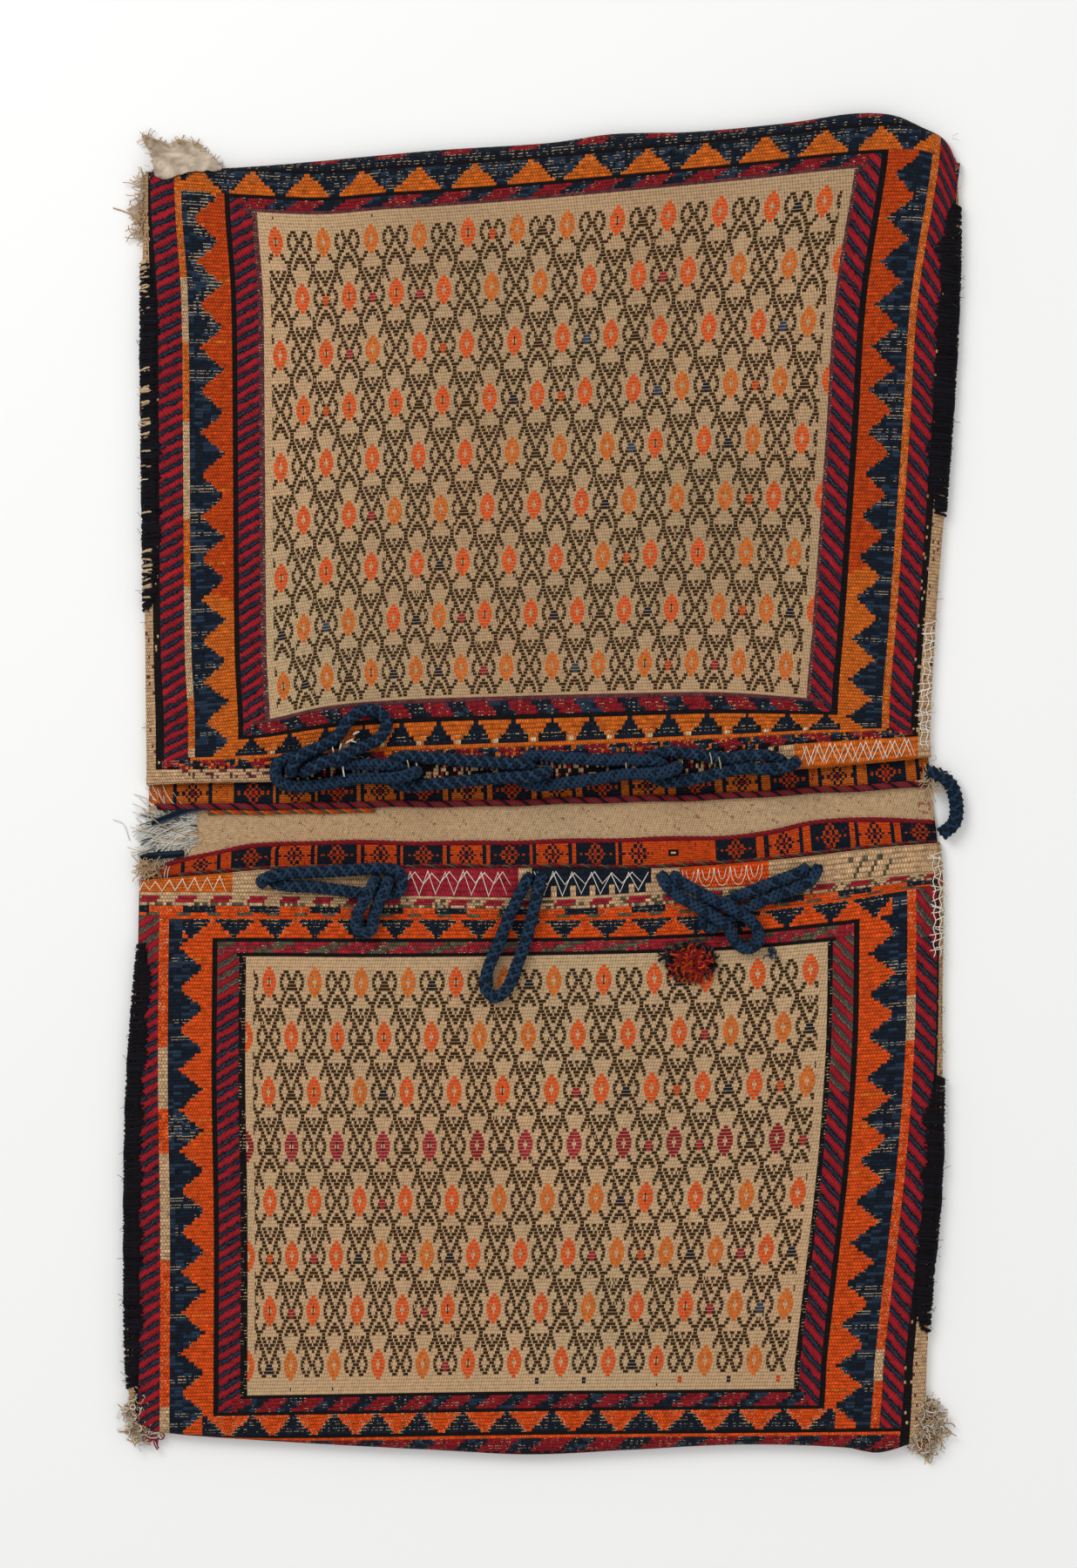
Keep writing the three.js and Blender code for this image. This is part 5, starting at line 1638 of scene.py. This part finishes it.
def crumpled(name, outline, middle, height):
    """A thin worn rag over an outline, closed front to back, creased towards its middle."""
    outline = np.array(outline)
    ring = through([(x, y, 0) for x, y in np.vstack([outline, outline[:1]])], 1.2)[:-1, :2]
    shaken = [ripple(ring[:, 0], ring[:, 1], 7, 3), ripple(ring[:, 0], ring[:, 1], 6, 4)]
    ring = ring + 0.7 * np.stack(shaken, 1)
    middle = np.array(middle, float)
    rings, n = 12, len(ring)
    points, faces = [], []
    share = 1 - np.arange(rings) / rings
    flat = middle + (ring[None] - middle) * share[:, None, None]
    x, y = flat[..., 0], flat[..., 1]
    lift = height(x, y) + 1.5 * np.abs(ripple(x, y, 11, 21)) * 2 + 0.8 * ripple(x, y, 4.5, 22)
    lift = np.maximum(lift, 0.9)
    for under in (0, 1):
        z = np.maximum(lift - under * 1.0, 0.35)
        points.append(np.stack([x, y, z], axis=-1).reshape(-1, 3))
        points.append(np.array([[*middle, float(z[-1].mean())]]))
    per = rings * n + 1
    for layer in (0, 1):
        base = layer * per
        for k in range(rings - 1):
            for i in range(n):
                j = (i + 1) % n
                quad = (base + k * n + i, base + k * n + j, base + (k + 1) * n + j, base + (k + 1) * n + i)
                faces.append(quad if layer else quad[::-1])
        for i in range(n):
            j = (i + 1) % n
            tri = (base + (rings - 1) * n + i, base + (rings - 1) * n + j, base + rings * n)
            faces.append(tri if layer else tri[::-1])
    for i in range(n):
        j = (i + 1) % n
        faces.append((i, j, per + j, per + i))
    vertices = np.vstack(points)
    piece = new_object(name, vertices, faces, [material_of("worn_cotton")])
    mesh = piece.data
    signed = sum(p.center.dot(p.normal) * p.area for p in mesh.polygons)
    if signed < 0:
        mesh.flip_normals()
    where = np.array([vertices[v][:2] for p in mesh.polygons for v in p.vertices]) / (1.2, 1.2)
    dress(piece, np.tile([*colour("light_cream"), 0.0], (len(faces), 1)), where)
    return piece, ring, middle


def build_scrap():
    """Thin worn cloth at the upper left corner, crumpled and frayed to threads at its edge."""
    scrap, ring, middle = crumpled(
        "worn_corner_scrap",
        [(-269.5, 435), (-265, 435.5), (-257, 432), (-251, 430), (-244, 432.5), (-231, 431), (-225, 424),
         (-217, 416.5), (-214, 412), (-236, 409.5), (-252, 405), (-259, 407), (-260, 414), (-261, 420),
         (-265.5, 428)],
        (-244, 420), lambda x, y: 1.5 + 11.5 * ease(433 - y, 6, 16))
    keep(scrap, "thin_cotton", "corner_scrap")
    rag, _, _ = crumpled(
        "worn_side_rag",
        [(-279, 386), (-272, 389), (-263.5, 400), (-259, 402), (-258, 390), (-259, 376), (-264, 369),
         (-268, 372), (-272, 379)],
        (-265, 385), lambda x, y: 1.5 + 6 * ease(x, -266, -259))
    keep(rag, "thin_cotton")
    n = len(ring)

    rng = np.random.default_rng(SEED + 80)
    yarns = Yarns()
    for _ in range(150):
        i = rng.integers(n)
        out = ring[i] - middle
        out = out / np.linalg.norm(out)
        start = (*(ring[i] - out * 3), rng.uniform(1, 5))
        yarns.add(curl(rng, start, (*out, 0), rng.uniform(3, 7), 0.45, 5, 0.6), 0.32,
                  tinted("light_cream", rng, 0.15), sides=3)
    # a rag that hangs down the left side, and the one thread that strays from it
    for _ in range(150):
        start = (-266 + rng.normal(0, 2.5), rng.uniform(366, 408), rng.uniform(1, 6))
        yarns.add(curl(rng, start, (-0.5 + rng.normal(0, 0.6), rng.normal(0, 1), 0), rng.uniform(5, 12),
                       0.4, 6, 0.6), 0.38, tinted(rng.choice(["light_cream", "cream"]), rng, 0.15), sides=3)
    yarns.add(through([(-266, 377, 4), (-272, 380, 2.5), (-279, 384, 1.2), (-288, 387, 0.9)], 3),
              0.45, tinted("cream", rng, 0.1), sides=4)
    keep(yarns.build("corner_frays", "teased_wool"), "thin_cotton")


def build_tufts():
    """Teased wool and broken yarns at the two lower corners."""
    rng = np.random.default_rng(SEED + 90)
    for node, middle, size, names, count in (
        ("wool_tuft_lower_left", (-268, -424), (13, 19), ("light_cream", "white_wool", "cream"), 420),
        ("wool_tuft_lower_right", (257, -431), (15, 20), ("light_cream", "white_wool", "cream"), 520),
    ):
        yarns = Yarns()
        for _ in range(count):
            angle, out = rng.uniform(0, math.tau), math.sqrt(rng.random())
            start = (middle[0] + size[0] * out * math.cos(angle) * 0.8,
                     middle[1] + size[1] * out * math.sin(angle) * 0.9, rng.uniform(0.6, 8.5) )
            yarns.add(curl(rng, start, rng.normal(0, 1, 3) * (1, 1, 0.3), rng.uniform(5, 12), 0.55, 8, 0.6),
                      rng.uniform(0.28, 0.55), tinted(rng.choice(names), rng, 0.16), sides=3)
        if "left" in node:
            for _ in range(16):
                start = (-259 + rng.normal(0, 2), -436 + rng.normal(0, 3), rng.uniform(2, 8))
                yarns.add(curl(rng, start, (-0.3, -1, 0), rng.uniform(6, 11), 0.3, 6, 0.6), 0.5,
                          tinted("crimson", rng, 0.15), sides=4)
        else:
            for _ in range(12):
                start = (254 + rng.normal(0, 3), -443 + rng.normal(0, 1.5), rng.uniform(2, 7))
                yarns.add(curl(rng, start, (0.2, -1, 0), rng.uniform(4, 7), 0.4, 6, 0.6), 0.45,
                          tinted("gold", rng, 0.15), sides=4)
        keep(yarns.build(node.replace("wool_tuft", "teased_tuft"), "teased_wool"), "loose_wool", node)


def build_loose_yarn():
    """White repairs on the loops, the torn edge's bare warps, and hairs along the edges."""
    rng = np.random.default_rng(SEED + 100)
    yarns = Yarns()
    for x, y, dx, dy in ((-131, 27, 5, 3), (-128, 29, 4, -1), (-135, 22, 1, 5), (-133, 12, 1, -7),
                         (-139, 20, -1, 5), (-126, 33, 4, 2)):
        line = through([(x, y, 20), (x + dx * 0.4, y + dy * 0.5, 22.5), (x + dx, y + dy, 20.5)], 1)
        yarns.add(line, 0.55, tinted("white_wool", rng, 0.05), sides=4)
    for x, y in ((-90, 12), (-84, 10), (-20, 15), (-14, 12), (55, 14), (61, 11), (112, 17), (118, 14)):
        line = through([(x, y + 4, 20.5), (x + 1, y, 21.8), (x + 1.5, y - 4, 20)], 1)
        yarns.add(line, 0.4, tinted("cotton", rng, 0.1), sides=4)
    for _ in range(330):     # bare warps at the torn edge
        y = rng.uniform(-42, -21)
        start = (rng.uniform(-240, -228) - 2, y, rng.uniform(1.5, 3.6))
        way = (-1, (y + 31) * 0.02 + rng.normal(0, 0.22), 0.02)
        name = rng.choice(["white_wool", "white_wool", "light_cream", "blue"], p=[0.5, 0.3, 0.13, 0.07])
        yarns.add(curl(rng, start, way, rng.uniform(16, 38), 0.12, 8, 0.6), rng.uniform(0.3, 0.5),
                  tinted(name, rng, 0.08), sides=3)
    for _ in range(90):
        start = (-262 + rng.normal(0, 3), -57 + rng.normal(0, 3), rng.uniform(3, 9))
        yarns.add(curl(rng, start, (-0.6, 0.1, 0), rng.uniform(6, 12), 0.4, 6, 0.6), 0.4,
                  tinted(rng.choice(["light_cream", "cream"]), rng, 0.1), sides=3)
    for _ in range(60):
        start = (261 + rng.normal(0, 2.5), 6 + rng.normal(0, 5), rng.uniform(6, 11))
        yarns.add(curl(rng, start, (0.3, -1, 0.1), rng.uniform(5, 12), 0.4, 6, 3), 0.35,
                  tinted("light_cream", rng, 0.1), sides=3)
    for _ in range(260):     # hairs along the long edges
        side = rng.choice([-1, 1])
        y = rng.uniform(-440, 440)
        if -60 < y < 15:
            continue
        x = (left_edge(y) if side < 0 else right_edge(y)) - side * rng.uniform(0, 3)
        yarns.add(curl(rng, (x, y, rng.uniform(3, 8)), (side, rng.normal(0, 1.4), 0), rng.uniform(3, 6), 0.4,
                       5, 0.5), 0.16, tinted(rng.choice(["cream", "light_cream", "wrap"]), rng, 0.1), sides=3)
    yarns.add(through([(-277, -38, 1.2), (-281, -27, 1), (-288, -24, 0.9)], 2), 0.3,
              tinted("white_wool", rng, 0.05), sides=3)
    keep(yarns.build("loose_yarn", "teased_wool"), "loose_wool")


# ------------------------------------------------------------------ stage


def build_camera():
    """The camera straight above, so far away that the bag shows flat."""
    data = bpy.data.cameras.new("camera")
    data.sensor_width = 36
    data.lens = 120
    data.clip_end = 20
    camera = bpy.data.objects.new("camera", data)
    bpy.context.collection.objects.link(camera)
    camera.location = (-0.0023, 0, 3.512)
    bpy.context.scene.camera = camera


def build_stage():
    """A plain white floor and soft daylight from above the upper left."""
    scene = bpy.context.scene
    scene.view_settings.view_transform = "Standard"
    bpy.ops.object.select_all(action="DESELECT")
    bpy.ops.mesh.primitive_plane_add(size=1, enter_editmode=True)
    bpy.ops.transform.resize(value=(8, 8, 1))
    bpy.ops.object.mode_set(mode="OBJECT")
    floor = bpy.context.object
    floor.name = "paper_floor"
    floor.data.materials.append(material_of("white_paper"))
    world = bpy.data.worlds.new("daylight")
    world.use_nodes = True
    world.node_tree.nodes["Background"].inputs["Color"].default_value = (1.0, 1.0, 1.0, 1)
    world.node_tree.nodes["Background"].inputs["Strength"].default_value = 0.62
    scene.world = world
    for name, place, size, power in (
        ("window", (-1.5, 1.6, 2.3), 1.6, 46), ("fill", (1.8, -1.0, 2.4), 2.4, 14),
    ):
        light = bpy.data.lights.new(name, "AREA")
        light.size = size
        light.energy = power
        lamp = bpy.data.objects.new(name, light)
        bpy.context.collection.objects.link(lamp)
        lamp.location = place
        lamp.rotation_euler = (-Vector(place)).to_track_quat("-Z", "Y").to_euler()


# ------------------------------------------------------------------ the add-on


def colour_property(name, note, value):
    return bpy.props.FloatVectorProperty(
        name=name.replace("_", " ").capitalize(), description=note, subtype="COLOR", size=3,
        min=0, max=1, default=linear(value))


def length_property(name, note, value):
    return bpy.props.FloatProperty(
        name=name.replace("_", " ").capitalize(), description=note, unit="LENGTH", min=0.0001,
        default=value * MM)


class SaddleBagSettings(bpy.types.PropertyGroup):
    """The bag's sizes and colours."""

    __annotations__ = {
        **{name: length_property(name, note, value) for name, note, value in SIZES},
        **{name: colour_property(name, note, value) for name, note, value in PALETTE},
    }


def build_fronts():
    for upper, flat in ((True, (0.545, 0.456)), (False, (0.545, 0.408))):
        piece = build_front(upper)
        keep(piece, "woven_wool", "woven_cloth")


def build_back():
    piece = keep(build_bridge(), "woven_wool", "woven_cloth")


class SADDLEBAG_OT_camera(bpy.types.Operator):
    """Sets the camera straight above the bag."""

    bl_idname = "saddlebag.camera"
    bl_label = "Camera"

    def execute(self, context):
        build_camera()
        return {"FINISHED"}


class SADDLEBAG_OT_loops(bpy.types.Operator):
    """Plaits the ten closure loops."""

    bl_idname = "saddlebag.loops"
    bl_label = "Closure loops"

    def execute(self, context):
        build_loops()
        return {"FINISHED"}


class SADDLEBAG_OT_side_cords(bpy.types.Operator):
    """Plaits the cords beside the bridge."""

    bl_idname = "saddlebag.side_cords"
    bl_label = "Side cords"

    def execute(self, context):
        build_side_cords()
        return {"FINISHED"}


class SADDLEBAG_OT_back(bpy.types.Operator):
    """Weaves the back and the bridge."""

    bl_idname = "saddlebag.back"
    bl_label = "Back and bridge"

    def execute(self, context):
        build_back()
        return {"FINISHED"}


class SADDLEBAG_OT_fronts(bpy.types.Operator):
    """Weaves the two pouch fronts."""

    bl_idname = "saddlebag.fronts"
    bl_label = "Pouch fronts"

    def execute(self, context):
        build_fronts()
        return {"FINISHED"}


class SADDLEBAG_OT_wraps(bpy.types.Operator):
    """Sews black wool over the side seams."""

    bl_idname = "saddlebag.wraps"
    bl_label = "Seam wraps"

    def execute(self, context):
        build_wraps()
        return {"FINISHED"}


class SADDLEBAG_OT_mends(bpy.types.Operator):
    """Sews pale thread over the seams beside the bridge."""

    bl_idname = "saddlebag.mends"
    bl_label = "Mending"

    def execute(self, context):
        build_mends()
        return {"FINISHED"}


class SADDLEBAG_OT_tab_stitches(bpy.types.Operator):
    """Sews the pale lines over the tabs."""

    bl_idname = "saddlebag.tab_stitches"
    bl_label = "Tab stitches"

    def execute(self, context):
        build_tab_stitches()
        return {"FINISHED"}


class SADDLEBAG_OT_trim(bpy.types.Operator):
    """Lays the plied cords beside the bridge's bands."""

    bl_idname = "saddlebag.trim"
    bl_label = "Trim cords"

    def execute(self, context):
        build_trim()
        return {"FINISHED"}


class SADDLEBAG_OT_pompom(bpy.types.Operator):
    """Ties the tassel and the blue knot."""

    bl_idname = "saddlebag.pompom"
    bl_label = "Pompom and knot"

    def execute(self, context):
        build_pompom()
        return {"FINISHED"}


class SADDLEBAG_OT_scrap(bpy.types.Operator):
    """Lays the worn scrap at the upper left corner."""

    bl_idname = "saddlebag.scrap"
    bl_label = "Corner scrap"

    def execute(self, context):
        build_scrap()
        return {"FINISHED"}


class SADDLEBAG_OT_tufts(bpy.types.Operator):
    """Teases the wool at the lower corners."""

    bl_idname = "saddlebag.tufts"
    bl_label = "Corner tufts"

    def execute(self, context):
        build_tufts()
        return {"FINISHED"}


class SADDLEBAG_OT_loose_yarn(bpy.types.Operator):
    """Adds repairs, bare warps and hairs."""

    bl_idname = "saddlebag.loose_yarn"
    bl_label = "Loose yarn"

    def execute(self, context):
        build_loose_yarn()
        return {"FINISHED"}


class SADDLEBAG_OT_stage(bpy.types.Operator):
    """Adds the floor and the light."""

    bl_idname = "saddlebag.stage"
    bl_label = "Stage"

    def execute(self, context):
        build_stage()
        return {"FINISHED"}


STEPS = (
    SADDLEBAG_OT_camera,
    SADDLEBAG_OT_loops,
    SADDLEBAG_OT_side_cords,
    SADDLEBAG_OT_back,
    SADDLEBAG_OT_fronts,
    SADDLEBAG_OT_wraps,
    SADDLEBAG_OT_mends,
    SADDLEBAG_OT_tab_stitches,
    SADDLEBAG_OT_trim,
    SADDLEBAG_OT_pompom,
    SADDLEBAG_OT_scrap,
    SADDLEBAG_OT_tufts,
    SADDLEBAG_OT_loose_yarn,
    SADDLEBAG_OT_stage,
)


class SADDLEBAG_PT_panel(bpy.types.Panel):
    """The bag's sizes and colours, and a button for each group of pieces."""

    bl_label = "Saddle bag"
    bl_idname = "SADDLEBAG_PT_panel"
    bl_space_type = "VIEW_3D"
    bl_region_type = "UI"
    bl_category = "Saddle bag"

    def draw(self, context):
        for name, _, _ in SIZES + PALETTE:
            self.layout.prop(context.scene.saddle_bag, name)
        for step in STEPS:
            self.layout.operator(step.bl_idname)


CLASSES = (SaddleBagSettings, *STEPS, SADDLEBAG_PT_panel)


def register():
    for cls in CLASSES:
        bpy.utils.register_class(cls)
    bpy.types.Scene.saddle_bag = bpy.props.PointerProperty(type=SaddleBagSettings)


def unregister():
    del bpy.types.Scene.saddle_bag
    for cls in reversed(CLASSES):
        bpy.utils.unregister_class(cls)


def main():
    register()
    for step in STEPS:
        getattr(bpy.ops.saddlebag, step.bl_idname.split(".")[1])()


if __name__ == "__main__":
    main()
